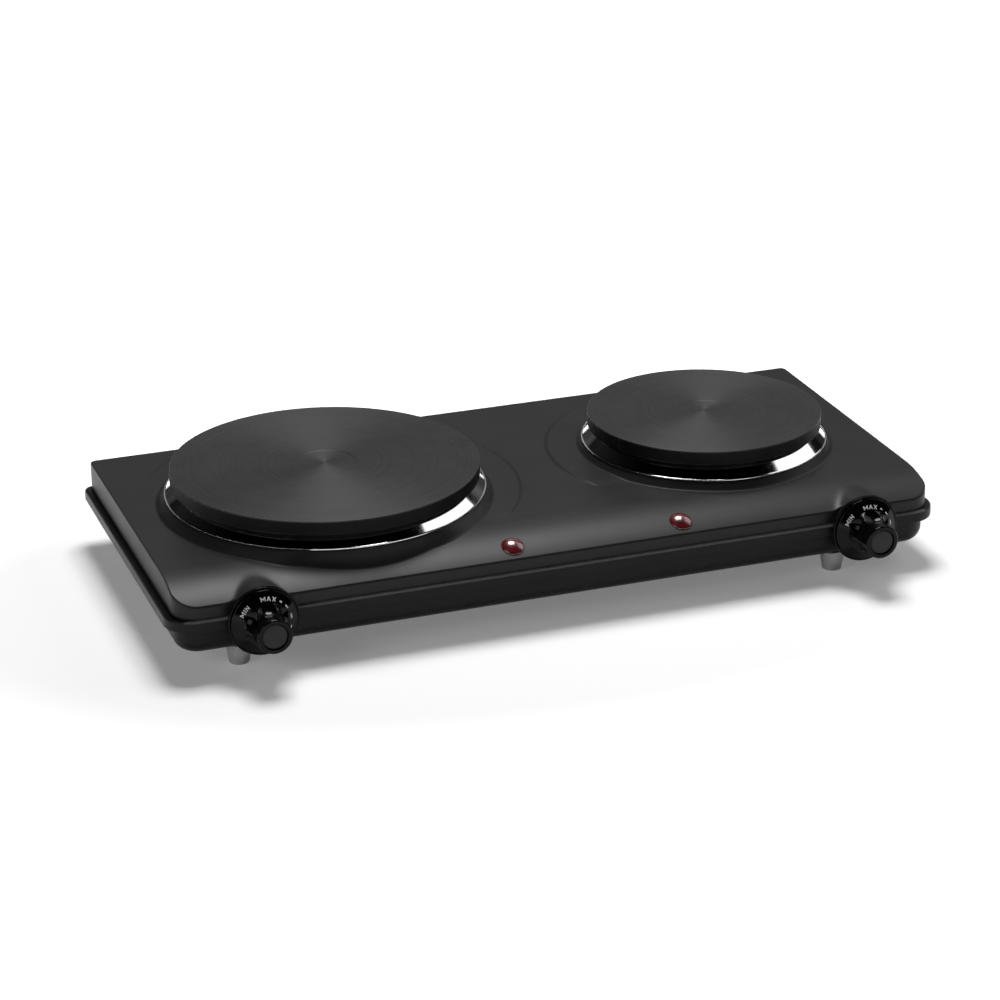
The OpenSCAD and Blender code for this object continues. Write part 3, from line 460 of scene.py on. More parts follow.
def mix_colours(tree, share, first, second):
    """The second colour where the share is 1, the first where it is 0."""
    mix = tree.nodes.new("ShaderNodeMix")
    mix.data_type = "RGBA"
    set_inputs(tree, mix, {0: share, 6: first, 7: second})
    return mix.outputs[2]


def step_along(tree, axis, zero_at, one_at):
    """Value from 0 to 1 between two places on an axis of the piece's own space."""
    split = add_node(tree, "SeparateXYZ", {"Vector": own_place(tree)})
    return add_range(tree, split.outputs[axis], 0.0, 1.0, (zero_at * MM, one_at * MM))


def add_bump(tree, bsdf, height, distance, normal=None):
    """Bump in millimetres, over another bump if one is given."""
    inputs = {"Height": height, "Distance": distance * MM}
    bump = add_node(tree, "Bump", {**inputs, "Normal": normal} if normal else inputs)
    tree.links.new(bump.outputs["Normal"], bsdf.inputs["Normal"])
    return bump.outputs["Normal"]


def grained(name, dark, light, roughness, bump_mm, scale, metallic=0.0, spec=0.5,
            mottling=90.0, grain=(3.0, 0.6), stretch=None):
    """Finish with mottled colour, uneven roughness and a fine grain or waviness."""
    tree, bsdf = new_material(name)
    blotches = add_noise(tree, mottling, 4.0, 0.6)
    set_inputs(tree, bsdf, {
        "Metallic": metallic, "Specular IOR Level": spec,
        "Base Color": mottled(tree, blotches, dark, light),
        "Roughness": add_range(tree, blotches, *roughness)})
    add_bump(tree, bsdf, add_noise(tree, scale, *grain, stretch), bump_mm)


# Cast iron: colours of the turned top and of the side, whose near-black is partly a darker cast
# finish and partly painted shade, and heights of the step between
IRON_DARK = (0.021, 0.021, 0.021)
IRON_LIGHT = (0.033, 0.033, 0.033)
IRON_SIDE_AND_SHADE = (0.006, 0.006, 0.007, 1)
IRON_STEP = (PLATE_TOP_Z - 1.1, PLATE_TOP_Z - 0.5)
RING_SHARE = 0.55


def turned_iron(name, x, y):
    """Cast iron: a lathe-turned top with rings about an axis, and a duller side whose dark colour
    is partly a cast finish and partly painted shade.
    """
    tree, bsdf = new_material(name)
    flat = vector_math(tree, "MULTIPLY_ADD", own_place(tree), (1, 1, 0), (-x * MM, -y * MM, 0))
    radius = vector_math(tree, "LENGTH", flat)
    rings = add_noise(tree, 420.0, 5.0, 0.75, along=radius)
    shade = add_math(tree, "MULTIPLY_ADD", add_noise(tree, 60.0, 5.0, 0.65), 1 - RING_SHARE,
                     add_math(tree, "MULTIPLY", rings, RING_SHARE))
    top = add_ramp(tree, shade, [(0.35, IRON_DARK), (0.65, IRON_LIGHT)])
    # Below the turned face the side gets its near-black colour, partly a cast finish and partly
    # painted shade
    on_top = step_along(tree, "Z", *IRON_STEP)
    tangent = tree.nodes.new("ShaderNodeTangent")
    tangent.direction_type, tangent.axis = "RADIAL", "Z"
    set_inputs(tree, bsdf, {
        "Metallic": 0.0, "Anisotropic": 0.6, "Anisotropic Rotation": 0.25,
        "Base Color": mix_colours(tree, on_top, IRON_SIDE_AND_SHADE, top),
        "Specular IOR Level": add_range(tree, on_top, 0.12, 0.25, (0.0, 1.0)),
        "Roughness": add_range(tree, rings, 0.42, 0.54),
        "Tangent": tangent.outputs["Tangent"]})
    grooves = add_bump(tree, bsdf, add_noise(tree, 1500.0, 2.0, along=radius), 0.05)
    add_bump(tree, bsdf, add_noise(tree, 1600.0, 2.0), 0.02, normal=grooves)
    return FINISH[name]


def red_lens(name):
    """Clear red plastic with a cloudy body and a glossy skin."""
    tree, bsdf = new_material(name)
    cloud = add_noise(tree, 320.0, 3.0, 0.6)
    set_inputs(tree, bsdf, {
        "Roughness": 0.24, "IOR": 1.49, "Transmission Weight": 0.5, "Coat Weight": 1.0,
        "Coat IOR": 1.9, "Coat Roughness": 0.24, "Specular IOR Level": 0.5,
        "Base Color": mottled(tree, cloud, (0.15, 0.004, 0.010), (0.30, 0.014, 0.028))})
    add_bump(tree, bsdf, add_noise(tree, 260.0, 2.0), 0.05)


# Painted highlight: a light line painted along the top of the tray's front edge, which lies in
# the cover's shade
EDGE_HIGHLIGHT = (0.16, 0.16, 0.16, 1)
EDGE_BELOW = (1.5, 0.75)
EDGE_BEHIND = 0.8


def paint_edge_highlight(name):
    """Paints a highlight into an enamel's colour along the top of the tray's front edge."""
    tree = FINISH[name].node_tree
    bsdf = tree.nodes["Principled BSDF"]
    high = step_along(tree, "Z", SEAM_Z - EDGE_BELOW[0], SEAM_Z - EDGE_BELOW[1])
    # Share of the painted highlight: near the top of the edge and at its front
    glint_share = add_math(tree, "MULTIPLY", high, step_along(tree, "Y", FRONT_Y + EDGE_BEHIND, FRONT_Y))
    enamel = bsdf.inputs["Base Color"].links[0].from_socket
    set_inputs(tree, bsdf, {"Base Color": mix_colours(tree, glint_share, enamel, EDGE_HIGHLIGHT)})


# Each finish: darkest and lightest colour, roughness, height of the grain and its scale
grained("black_enamel", (0.0140, 0.0147, 0.0144), (0.0168, 0.0176, 0.0172), (0.40, 0.44),
        0.010, 900.0, spec=0.21, mottling=26.0)
grained("tray_enamel", (0.0105, 0.0105, 0.0108), (0.0150, 0.0150, 0.0154), (0.34, 0.42),
        0.012, 800.0, spec=0.13, mottling=30.0)
grained("knob_gloss", (0.0016, 0.0016, 0.0018), (0.0026, 0.0026, 0.0028), (0.10, 0.15),
        0.006, 500.0, spec=0.13, mottling=110.0)
grained("cap_matt", (0.018, 0.018, 0.019), (0.025, 0.025, 0.026), (0.42, 0.55),
        0.02, 1500.0, spec=0.25, mottling=150.0)
grained("bright_ring", (0.80, 0.80, 0.81), (0.88, 0.88, 0.89), (0.045, 0.10),
        0.05, 45.0, metallic=1.0, mottling=140.0, grain=(2.0, 0.5))
red_lens("lamp_red")
grained("grey_rubber", (0.70, 0.70, 0.71), (0.78, 0.78, 0.79), (0.38, 0.5),
        0.03, 1300.0, mottling=160.0)
grained("print_white", (0.70, 0.70, 0.70), (0.82, 0.82, 0.82), (0.4, 0.5),
        0.01, 2500.0, mottling=900.0)
# Painted highlight along the tray's front edge
paint_edge_highlight("tray_enamel")
grained("coil_wire", (0.20, 0.17, 0.14), (0.36, 0.33, 0.29), (0.35, 0.6),
        0.25, 420.0, metallic=1.0, mottling=120.0)
grained("ceramic", (0.62, 0.58, 0.50), (0.80, 0.77, 0.70), (0.7, 0.9), 0.08, 700.0)
grained("plated_steel", (0.48, 0.48, 0.47), (0.66, 0.66, 0.64), (0.25, 0.42),
        0.02, 500.0, metallic=1.0, stretch=(1.0, 0.08, 1.0))
grained("brass", (0.58, 0.43, 0.18), (0.80, 0.64, 0.32), (0.22, 0.4),
        0.02, 600.0, metallic=1.0)
grained("white_plastic", (0.72, 0.72, 0.68), (0.84, 0.84, 0.80), (0.45, 0.6), 0.03, 900.0)
grained("black_rubber", (0.016, 0.016, 0.017), (0.026, 0.026, 0.028), (0.5, 0.65),
        0.03, 1200.0, spec=0.35)

WIRE_SHADE = 0.75
WIRES = {"brown": (0.20, 0.085, 0.035), "black": (0.03, 0.03, 0.03),
         "blue": (0.04, 0.12, 0.42), "green": (0.22, 0.42, 0.05), "grey": (0.55, 0.55, 0.56)}
for wire, colour in WIRES.items():
    grained("wire_" + wire, tuple(c * WIRE_SHADE for c in colour), colour, (0.42, 0.6),
            0.04, 1400.0, mottling=240.0)


def dress_cad_nodes():
    """Gives every CAD node the finish of its slot."""
    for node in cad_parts.values():
        for k, old in enumerate(node.data.materials):
            finish = FINISH.get(old.name.split(".")[0]) if old else None
            if finish:
                node.data.materials[k] = finish


# ---- cover
SOFT_POWER = 5.0


def soft_min(values):
    """Smooth minimum of non-negative distances; zero wherever one of them is zero."""
    scale = np.minimum.reduce(values)
    safe = np.maximum(scale, 1e-9)
    total = sum((safe / np.maximum(v, 1e-9)) ** SOFT_POWER for v in values)
    return scale / total ** (1 / SOFT_POWER)


def smooth_max(a, b, k):
    """Maximum that blends where a and b differ by less than k."""
    h = np.clip(0.5 + 0.5 * (a - b) / k, 0, 1)
    return b + (a - b) * h + k * h * (1 - h)


def roll_drop_at(y):
    """How far the rolled front lies below the flat top."""
    t = np.clip(ROLL_Y - y, 0, ROLL_R)
    return ROLL_R - np.sqrt(ROLL_R ** 2 - t ** 2)


def boss_drop_at(x, y, knob_x):
    """How far the hump behind a knob lies below the flat top."""
    s = np.abs(x - knob_x) / HUMP_R
    drop = (BOSS_R - HUMP_R * np.sqrt(np.maximum(1 - s ** 2, 0))
            + HUMP_WALL * HUMP_R * np.maximum(s - 1, 0))
    return drop + HUMP_BACK * np.maximum(y - ROLL_Y, 0)


def over_roll(y):
    """0 on the flat top, growing to 1 over the roll."""
    t = np.clip(roll_drop_at(y) / BLEND_DROP, 0, 1)
    return t * t * (3 - 2 * t)


def collar_z(x, y, plate):
    """Height of a collar's cone, capped at its rim."""
    rim_z = TOP_Z + plate["collar_h"]
    rho = np.hypot(x - plate["x"], y - plate["y"])
    run = COLLAR_SLOPE * (1 - COLLAR_STEEPER * over_roll(y))
    cone = rim_z + (plate["rim_r"] - rho) / run
    return -smooth_max(-cone, np.full_like(cone, -rim_z), RIM_BLEND)


def crescent_z(x, y, step):
    """Height of a tilted round step with a sloping flank."""
    dx, dy = x - step["x"], y - step["y"]
    a = math.radians(step["towards"])
    along = dx * math.cos(a) + dy * math.sin(a)
    top = TOP_Z + STEP_H + along * math.tan(math.radians(step["tilt"]))
    flank = top + (step["r"] - np.hypot(dx, dy)) * step["flank"]
    return np.minimum(top, flank) - STEP_FADE * np.maximum(step["fade_y"] - y, 0) ** 2


def crescent_reach(step):
    """How far out from its edge a crescent's flank can go."""
    rise = STEP_H + step["r"] * math.tan(math.radians(step["tilt"]))
    return rise / step["flank"] + STEP_SPARE


def cover_top_z(x, y):
    """Height of the cover's upper face, before its outer edge is rounded."""
    drops = [roll_drop_at(y)] + [boss_drop_at(x, y, KNOB_X[side]) for side in SIDES]
    z = TOP_Z - soft_min(drops)
    for step in CRESCENTS.values():
        z = smooth_max(z, crescent_z(x, y, step), STEP_BLEND)
    for plate in PLATES.values():
        z = smooth_max(z, collar_z(x, y, plate), COLLAR_BLEND + COLLAR_BLEND_ROLL * over_roll(y))
    return z


def cover_top_normal(x, y, reach=0.02):
    """Upward normal of the cover's upper face."""
    fx = (cover_top_z(x + reach, y) - cover_top_z(x - reach, y)) / (2 * reach)
    fy = (cover_top_z(x, y + reach) - cover_top_z(x, y - reach)) / (2 * reach)
    return unit(np.stack([-fx, -fy, np.ones_like(fx)], 1))


def lamp_frame(side):
    """Matrix that stands a lens, drawn along +Z from its seat, on the rolled front."""
    y = FRONT_Y + LAMP_BACK
    tilt = math.asin((ROLL_Y - y) / ROLL_R)
    z = TOP_Z - ROLL_R * (1 - math.cos(tilt))
    return (Matrix.Translation((cad_middle("lamp_lens_" + side)[0], y, z))
            @ Matrix.Rotation(tilt, 4, "X"))


def circle_points(cx, cy, r, n, shift=0.0):
    """Points of a circle, turned by a share of their spacing."""
    a = (np.arange(n) + shift) * 2 * math.pi / n
    return np.stack([cx + r * np.cos(a), cy + r * np.sin(a)], 1)


def circles(middle, radii, n):
    """Circles about a middle, every second one turned by half a spacing."""
    return np.vstack([circle_points(middle["x"], middle["y"], r, n, 0.5 * (k % 2))
                      for k, r in enumerate(radii)])


def distance(points, middle):
    """Distance of points from a middle."""
    return np.hypot(points[:, 0] - middle["x"], points[:, 1] - middle["y"])


def on_crescent(points, step):
    """True where a crescent comes near the flat top or stands above it."""
    stands = crescent_z(points[:, 0], points[:, 1], step) > TOP_Z - STEP_SHOWS
    return stands & (points[:, 1] > ROLL_Y - 4)


# Where the fine circles around a collar end, and spacings of the grids between them
FINE_OUT = 5.5
FLAT_SPACING = (5.0, 5.0)
ROLL_SPACING = (4.0, 1.5)
BOSS_SPACING = (0.9, 1.3)
GRID_HALF = 232
BOSS_HALF = 26


def grid(half, y_from, y_to, spacing, middle=0.0):
    """Points of a grid about a middle."""
    xs = np.arange(-half, half + 0.1, spacing[0]) + middle
    ys = np.arange(y_from, y_to, spacing[1])
    return np.stack(np.meshgrid(xs, ys), -1).reshape(-1, 2)


def cover_points():
    """Free points of the cover's upper face, closer together where it curves."""
    groups = []
    for plate in PLATES.values():
        rim, base = plate["rim_r"], plate["base_r"]
        # Opening, rim, cone, foot of the cone and the flat around it
        spans = ((plate["r"] - 2.4, rim - 1.0, 1.4), (rim - 0.9, rim + 1.2, 0.3),
                 (rim + 1.6, base - 1.6, 0.6), (base - 1.6, base + 1.8, 0.35),
                 (base + 2.3, base + FINE_OUT, 0.9))
        radii = np.concatenate([np.arange(*span) for span in spans])
        groups.append(circles(plate, radii, plate["segments"]))
    for key, step in CRESCENTS.items():
        radii = np.arange(step["r"] - 1.0, step["r"] + crescent_reach(step), 0.4)
        band = circles(step, radii, STEP_SEGMENTS)
        clear = distance(band, PLATES[key]) > PLATES[key]["base_r"] + FINE_OUT
        groups.append(band[on_crescent(band, step) & clear])
    coarse = np.vstack([grid(GRID_HALF, ROLL_Y + 2, BACK_Y - 2, FLAT_SPACING),
                        grid(GRID_HALF, FRONT_Y + 2.4, ROLL_Y + 1.5, ROLL_SPACING)])
    # Shifted rows keep the points off common circles
    coarse[:, 0] += 0.37 * np.round(coarse[:, 1] % 2)
    for side in SIDES:
        by_knob = np.abs(coarse[:, 0] - KNOB_X[side]) < BOSS_HALF + 1
        coarse = coarse[~(by_knob & (coarse[:, 1] < ROLL_Y + 5))]
    on_boss = [grid(BOSS_HALF, FRONT_Y + 2.2, ROLL_Y + 4, BOSS_SPACING, KNOB_X[side])
               for side in SIDES]
    coarse = np.vstack([coarse] + on_boss)
    for plate in PLATES.values():
        coarse = coarse[distance(coarse, plate) > plate["base_r"] + FINE_OUT + 0.4]
    for step in CRESCENTS.values():
        rho = distance(coarse, step)
        near = (rho > step["r"] - 1.6) & (rho < step["r"] + crescent_reach(step) + 0.6)
        coarse = coarse[~(near & on_crescent(coarse, step))]
    return np.vstack(groups + [coarse])


EDGE_STEPS = 7
WALL_LEVELS = (0.33, 0.66, 0.95, 1.0)
SEAM_GAP = 0.05
LAMP_HOLE_SEGMENTS = 40


def build_cover():
    """The pressed cover: upper face, rounded edge, walls and its inside."""
    rings, ring_normals = [], []
    for a in np.radians(np.linspace(90, 0, EDGE_STEPS)):
        p, out = plan_outline(COVER_PLAN, EDGE_R * (1 - math.cos(a)))
        z = cover_top_z(p[:, 0], p[:, 1]) - EDGE_R * (1 - math.sin(a))
        up = cover_top_normal(p[:, 0], p[:, 1])
        flat_out = np.column_stack([out, np.zeros(len(out))])
        rings.append(np.column_stack([p, z]))
        ring_normals.append(unit(flat_out * math.cos(a) + up * math.sin(a)))
    # Walls down to the seam
    top_edge = rings[-1][:, 2]
    for t in WALL_LEVELS:
        rings.append(np.column_stack([p, top_edge + (SEAM_Z + SEAM_GAP - top_edge) * t]))
        ring_normals.append(flat_out)
    # Upper face inside the edge, with the openings of the plates and the lamps
    holes = [(plate["x"], plate["y"], plate["r"] - OPENING_IN, plate["segments"])
             for plate in PLATES.values()]
    for side in SIDES:
        holes.append((*lamp_frame(side).translation[:2], LAMP_HOLE_R, LAMP_HOLE_SEGMENTS))
    free = cover_points()
    free = free[inset_in_plan(free, COVER_PLAN) > EDGE_R + 0.7]
    for cx, cy, r, _ in holes:
        free = free[np.hypot(free[:, 0] - cx, free[:, 1] - cy) > r + 0.6]

    def keep(c):
        inside = inset_in_plan(c, COVER_PLAN) > EDGE_R * 0.98
        for cx, cy, r, _ in holes:
            inside &= np.hypot(c[:, 0] - cx, c[:, 1] - cy) > r - 0.02
        return inside

    outlines = [rings[0][:, :2]] + [circle_points(*hole) for hole in holes]
    flat, faces = triangulate(outlines, keep, [free])
    n, base = len(p), len(flat)
    verts = np.vstack([np.column_stack([flat, cover_top_z(flat[:, 0], flat[:, 1])])] + rings[1:])
    normals = np.vstack([cover_top_normal(flat[:, 0], flat[:, 1])] + ring_normals[1:])
    faces = [tuple(f) for f in faces]
    starts = [0] + [base + k * n for k in range(len(rings) - 1)]
    for above, below in zip(starts[:-1], starts[1:]):
        faces += [(b, a, d, c) for a, b, c, d in ring_faces(above, below, n)]
    verts, faces, normals = thicken(verts, faces, normals, SHEET)
    cover = make_mesh("cover_shell", verts, faces, "black_enamel", normals=normals)
    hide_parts("top_cover")


# ---- tray
# Vent slots: two rows under each plate, and how many slots a row has
SLOT_W = 3.0
SLOT_L = 34.0
SLOT_PITCH = 10.0
SLOT_OUT = 55.0
SLOT_COUNTS = {"large": 11, "small": 9}


def slot_outline(cx, cy):
    """Slot with round ends, lying along Y."""
    a = np.radians(np.linspace(0, 180, 9))
    cap = np.stack([np.cos(a), np.sin(a)], 1) * SLOT_W / 2
    return np.vstack([cap + (cx, cy + SLOT_L / 2), -cap + (cx, cy - SLOT_L / 2)])


def arc_rings(plan, inset, z, r, start, end, count):
    """Outlines along an arc about an inset and a height; angles in degrees."""
    return [plan_ring(plan, inset - r * math.cos(a), z + r * math.sin(a))
            for a in np.radians(np.linspace(start, end, count))]


def build_tray():
    """The base tray: ledge, flange band, lower wall, rounded bottom and slotted floor."""
    flange_z = SEAM_Z - FLANGE_H
    t, e, f, b = FLANGE_TOP_R, FLANGE_EDGE_R, TRAY_FILLET, TRAY_EDGE_R
    rings = [plan_ring(FLANGE_PLAN, inset, SEAM_Z - 0.02) for inset in FLANGE_LEDGE]
    rings += arc_rings(FLANGE_PLAN, t, SEAM_Z - t, t, 90, 0, 9)
    rings += arc_rings(FLANGE_PLAN, e, flange_z + e, e, 0, -90, 6)
    rings += arc_rings(TRAY_PLAN, -f, flange_z - f, f, 90, 180, 5)
    rings += arc_rings(TRAY_PLAN, b, FLOOR_Z + b, b, 0, -90, 10)
    rings.append(plan_ring(TRAY_PLAN, b + 1.0, FLOOR_Z))
    verts, faces = loft(rings)
    faces = turned_over(faces)
    n, last = len(rings[0]), (len(rings) - 1) * len(rings[0])
    slots = [(PLATES[key]["x"] + (k - (count - 1) / 2) * SLOT_PITCH,
              PLATES[key]["y"] + row * SLOT_OUT / 2)
             for key, count in SLOT_COUNTS.items() for row in (-1, 1) for k in range(count)]

    def keep(c):
        inside = inset_in_plan(c, TRAY_PLAN) > TRAY_EDGE_R
        for cx, cy in slots:
            dy = np.maximum(np.abs(c[:, 1] - cy) - SLOT_L / 2, 0)
            inside &= np.hypot(c[:, 0] - cx, dy) > SLOT_W / 2 * 0.97
        return inside

    outlines = [verts[last:, :2]] + [slot_outline(cx, cy) for cx, cy in slots]
    flat, floor_faces = triangulate(outlines, keep)
    # The floor's border points are the last ring's
    index = np.arange(len(flat)) + len(verts) - n
    index[:n] = np.arange(last, last + n)
    floor = np.column_stack([flat, np.full(len(flat), FLOOR_Z)])
    verts = np.vstack([verts, floor[n:]])
    faces += [tuple(index[i] for i in reversed(f)) for f in floor_faces]
    verts, faces, normals = thicken(verts, faces, area_normals(verts, faces), SHEET)
    tray = make_mesh("tray_shell", verts, faces, "tray_enamel", normals=normals)
    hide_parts("base_tray")


# ---- hot plates
# Under a plate: a ring-shaped skirt between two distances from the rim, and a hub
PLATE_RECESS = 0.4
SKIRT_IN = (8.5, 12.5)
SKIRT_H = 7.5
HUB_R = 9.0
HUB_H = 10.9
PLATE_STEP = 6


def build_plate(key):
    """A turned plate: recessed middle, rounded rim, skirt and hub."""
    plate = PLATES[key]
    r, top, under = plate["r"], PLATE_TOP_Z, PLATE_UNDER_Z
    profile = fillet_profile([
        (0, top - PLATE_RECESS), (plate["recess_r"] - 0.8, top - PLATE_RECESS, 0.3),
        (plate["recess_r"], top, 0.3), (r, top, 0.45), (r, under, 0.9),
        (r - SKIRT_IN[0], under, 0.6), (r - SKIRT_IN[0], under - SKIRT_H, 0.6),
        (r - SKIRT_IN[1], under - SKIRT_H, 0.6), (r - SKIRT_IN[1], under, 0.6),
        (HUB_R, under, 0.6), (HUB_R, under - HUB_H, 0.6), (0, under - HUB_H)])
    fine = [profile[0]]
    for a, b in zip(profile[:-1], profile[1:]):
        steps = max(1, int(math.hypot(*(b - a)) / PLATE_STEP))
        fine += [a + (b - a) * k / steps for k in range(1, steps + 1)]
    verts, faces = revolve(fine, 240)
    iron = turned_iron("cast_iron_" + key, plate["x"], plate["y"])
    piece = make_mesh("turned_plate_" + key, verts + (plate["x"], plate["y"], 0),
                      turned_over(faces), "cast_iron", material=iron)
    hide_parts("hotplate_" + key)


# Spill ring: thickness, and how far in and out of the plate's radius its inner lip goes
RING_T = 0.6
LIP_IN = (8, 5)
LIP_UNDER = 0.5


def build_ring(key):
    """The bright spill ring: a thin dished band between the collar and the plate."""
    plate, t = PLATES[key], RING_T
    z_out, z_in = (corner[2] for corner in cad_box("spill_ring_" + key))
    r, outer = plate["r"], cad_radius("spill_ring_" + key)
    lip_r, bend_r, under_r = r - LIP_IN[0], r - LIP_IN[1], r + LIP_UNDER
    profile = fillet_profile([
        (lip_r, z_in - t), (lip_r, z_in), (bend_r, z_in, 1.4), (outer - 0.2, z_out + t, 1.6),
        (outer, z_out + t, 0.1), (outer, z_out, 0.1), (under_r, z_out, 0.1),
        (under_r, z_out + t * 0.8, 0.1), (outer - 1.6 * t, z_out + t * 0.9, 0.6),
        (bend_r - t / 2, z_in - t, 0.8), (lip_r, z_in - t)])
    verts, faces = revolve(profile[:-1], 300, loop=True)
    piece = make_mesh("bright_ring_" + key, verts + (plate["x"], plate["y"], 0),
                      turned_over(faces), "bright_ring")
    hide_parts("spill_ring_" + key)


# ---- knobs, dials
def knob_matrix(side, y=KNOB_BACK_Y):
    """Stands a piece drawn along +Z, up = +Y, on a knob's axis."""
    return (Matrix.Translation((KNOB_X[side], y, AXIS_Z))
            @ Matrix.Rotation(math.radians(90), 4, "X"))


SKIRT_T = 1.6
CONE_BASE_R = 18.9
CONE_H = 3.6
GRIP_ROOT_R = 15.0
GRIP_FRONT_R = 10.3
GRIP_L = 22.0
GRIP_FLARE = 0.8
CAP_DEPTH = 2.0
# Flutes: spheres pressed into the grip, stretched along its axis
FLUTE_N = 6
FLUTE_R = 10.5
FLUTE_HALF_L = 9.0
FLUTE_OUT = 8.4
FLUTE_MID = 11.0
KNOB_SEGMENTS = 360


def grip_radius(t):
    """Radius of a grip at the distance t in front of its skirt."""
    s = np.clip(1 - t / (GRIP_FLARE * GRIP_L), 0, 1)
    return GRIP_FRONT_R + (GRIP_ROOT_R - GRIP_FRONT_R) * s ** 2


def build_knob(side):
    """A knob: skirt with a cone, fluted grip, front ring and the recess for its cap."""
    front_z, grip_end = SKIRT_T + GRIP_L, GRIP_L - 1.0
    skirt = fillet_profile([
        (6.5, 0.0), (SKIRT_R, 0.0, 0.35), (SKIRT_R, SKIRT_T, 0.45), (CONE_BASE_R, SKIRT_T, 0.2),
        (grip_radius(CONE_H), SKIRT_T + CONE_H)], 4)
    cone = np.linspace(skirt[-2], skirt[-1], 14)[1:-1]
    ts = np.linspace(CONE_H, grip_end, 66)
    grip = np.stack([grip_radius(ts), SKIRT_T + ts], 1)
    front = fillet_profile([
        (GRIP_FRONT_R, SKIRT_T + grip_end), (GRIP_FRONT_R, front_z, 0.9),
        (CAP_R + 0.35, front_z, 0.45), (CAP_R + 0.3, front_z - CAP_DEPTH, 0.1),
        (5.0, front_z - CAP_DEPTH)], 4)
    stretch = np.array([1, 1, FLUTE_R / FLUTE_HALF_L])
    rings = []
    for r, t in np.vstack([skirt[:-1], cone, grip, front[1:]]):
        ring = level_ring(r, t, KNOB_SEGMENTS)
        fluted = t > SKIRT_T and r > CAP_R + 0.6
        for k in range(FLUTE_N if fluted else 0):
            a = (k + 0.5) * 2 * math.pi / FLUTE_N
            out = np.array([math.cos(a), math.sin(a), 0])
            centre = (GRIP_FRONT_R + FLUTE_OUT) * out + (0, 0, SKIRT_T + FLUTE_MID)
            away = (ring - centre) * stretch
            inside = np.linalg.norm(away, axis=1) < FLUTE_R
            # Way inwards from each point inside the sphere to its far side
            b = (away[inside] * -out).sum(1)
            c = (away[inside] ** 2).sum(1) - FLUTE_R ** 2
            ring[inside] -= out * (-b + np.sqrt(np.maximum(b ** 2 - c, 0)))[:, None]
        rings.append(ring)
    verts, faces = loft(rings, capped=True)
    verts = placed(verts, knob_matrix(side))
    piece = make_mesh("fluted_knob_" + side, verts, faces, "knob_gloss", body="knob_" + side)
    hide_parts("knob_" + side)


# Letters of the knob's print in hundredths of their height: width, then outlines as x, y, x, y
GLYPHS = {
    "M": (110, [[0, 0, 22, 0, 22, 60, 55, 18, 88, 60, 88, 0, 110, 0, 110, 100, 90, 100, 55, 52,
                 20, 100, 0, 100]]),
    "I": (24, [[0, 0, 24, 0, 24, 100, 0, 100]]),
    "N": (88, [[0, 0, 22, 0, 22, 62, 66, 0, 88, 0, 88, 100, 66, 100, 66, 38, 22, 100, 0, 100]]),
    "A": (100, [[0, 0, 24, 0, 33, 24, 67, 24, 76, 0, 100, 0, 63, 100, 37, 100],
                [40, 42, 50, 74, 60, 42]]),
    "X": (96, [[0, 0, 27, 0, 48, 34, 69, 0, 96, 0, 63, 51, 94, 100, 68, 100, 48, 67, 28, 100,
                2, 100, 33, 51]]),
}
LETTER_H = 2.6
LETTER_GAP = 0.62
PRINT_R = 15.1
PRINT_T = 0.05
PRINT_CUT = 0.3
PRINT_WORDS = (("MAX", 84.0), ("MIN", 144.0))
# Dashes between the words: middle angle and length
PRINT_DASHES = ((55.0, 1.5), (37.0, 2.4), (11.0, 3.0), (-17.0, 3.4), (-45.0, 3.8), (-73.0, 4.2))
DASH_H = 1.0
PRINT_TURN = {"left": -1.5, "right": 2.0}


def inside_loops(points, loops):
    """Even-odd test of points against closed loops of corners."""
    inside = np.zeros(len(points), bool)
    for loop in loops:
        for (ax, ay), (bx, by) in zip(loop, np.roll(loop, -1, axis=0)):
            spans = (ay > points[:, 1]) != (by > points[:, 1])
            cross = ax + (points[:, 1] - ay) / (by - ay if by != ay else 1) * (bx - ax)
            inside ^= spans & (points[:, 0] < cross)
    return inside


def divided(loop):
    """A closed loop with its sides cut into short lengths."""
    out = []
    for a, b in zip(loop, np.roll(loop, -1, axis=0)):
        count = max(1, math.ceil(math.hypot(*(b - a)) / PRINT_CUT))
        out += [a + (b - a) * k / count for k in range(count)]
    return np.array(out)


def print_on_cone(loops, angle):
    """A thin solid of flat outlines (right, up), laid on the knob's cone about an angle."""
    loops = [divided(np.array(loop, float)) for loop in loops]
    flat, faces = triangulate(loops, lambda c: inside_loops(c, loops))
    cone_run = CONE_BASE_R - grip_radius(CONE_H)
    slope = unit(np.array([cone_run, -CONE_H]))
    lift = np.array([-slope[1], slope[0]])
    print_z = SKIRT_T + (CONE_BASE_R - PRINT_R) * CONE_H / cone_run
    along = flat[:, 1:] * slope + (PRINT_R, print_z)
    turn = math.radians(angle) - flat[:, 0] / PRINT_R
    layers = []
    for height in (PRINT_T, -PRINT_T):
        r, t = (along + lift * height).T
        layers.append(np.stack([r * np.cos(turn), r * np.sin(turn), t], 1))
    n = len(flat)
    faces = [tuple(f) for f in faces]
    under = [tuple(n + i for i in reversed(f)) for f in faces]
    strips = sorted((a, n + a, n + b, b) for a, b in open_edges(faces))
    return np.vstack(layers), faces + under + strips


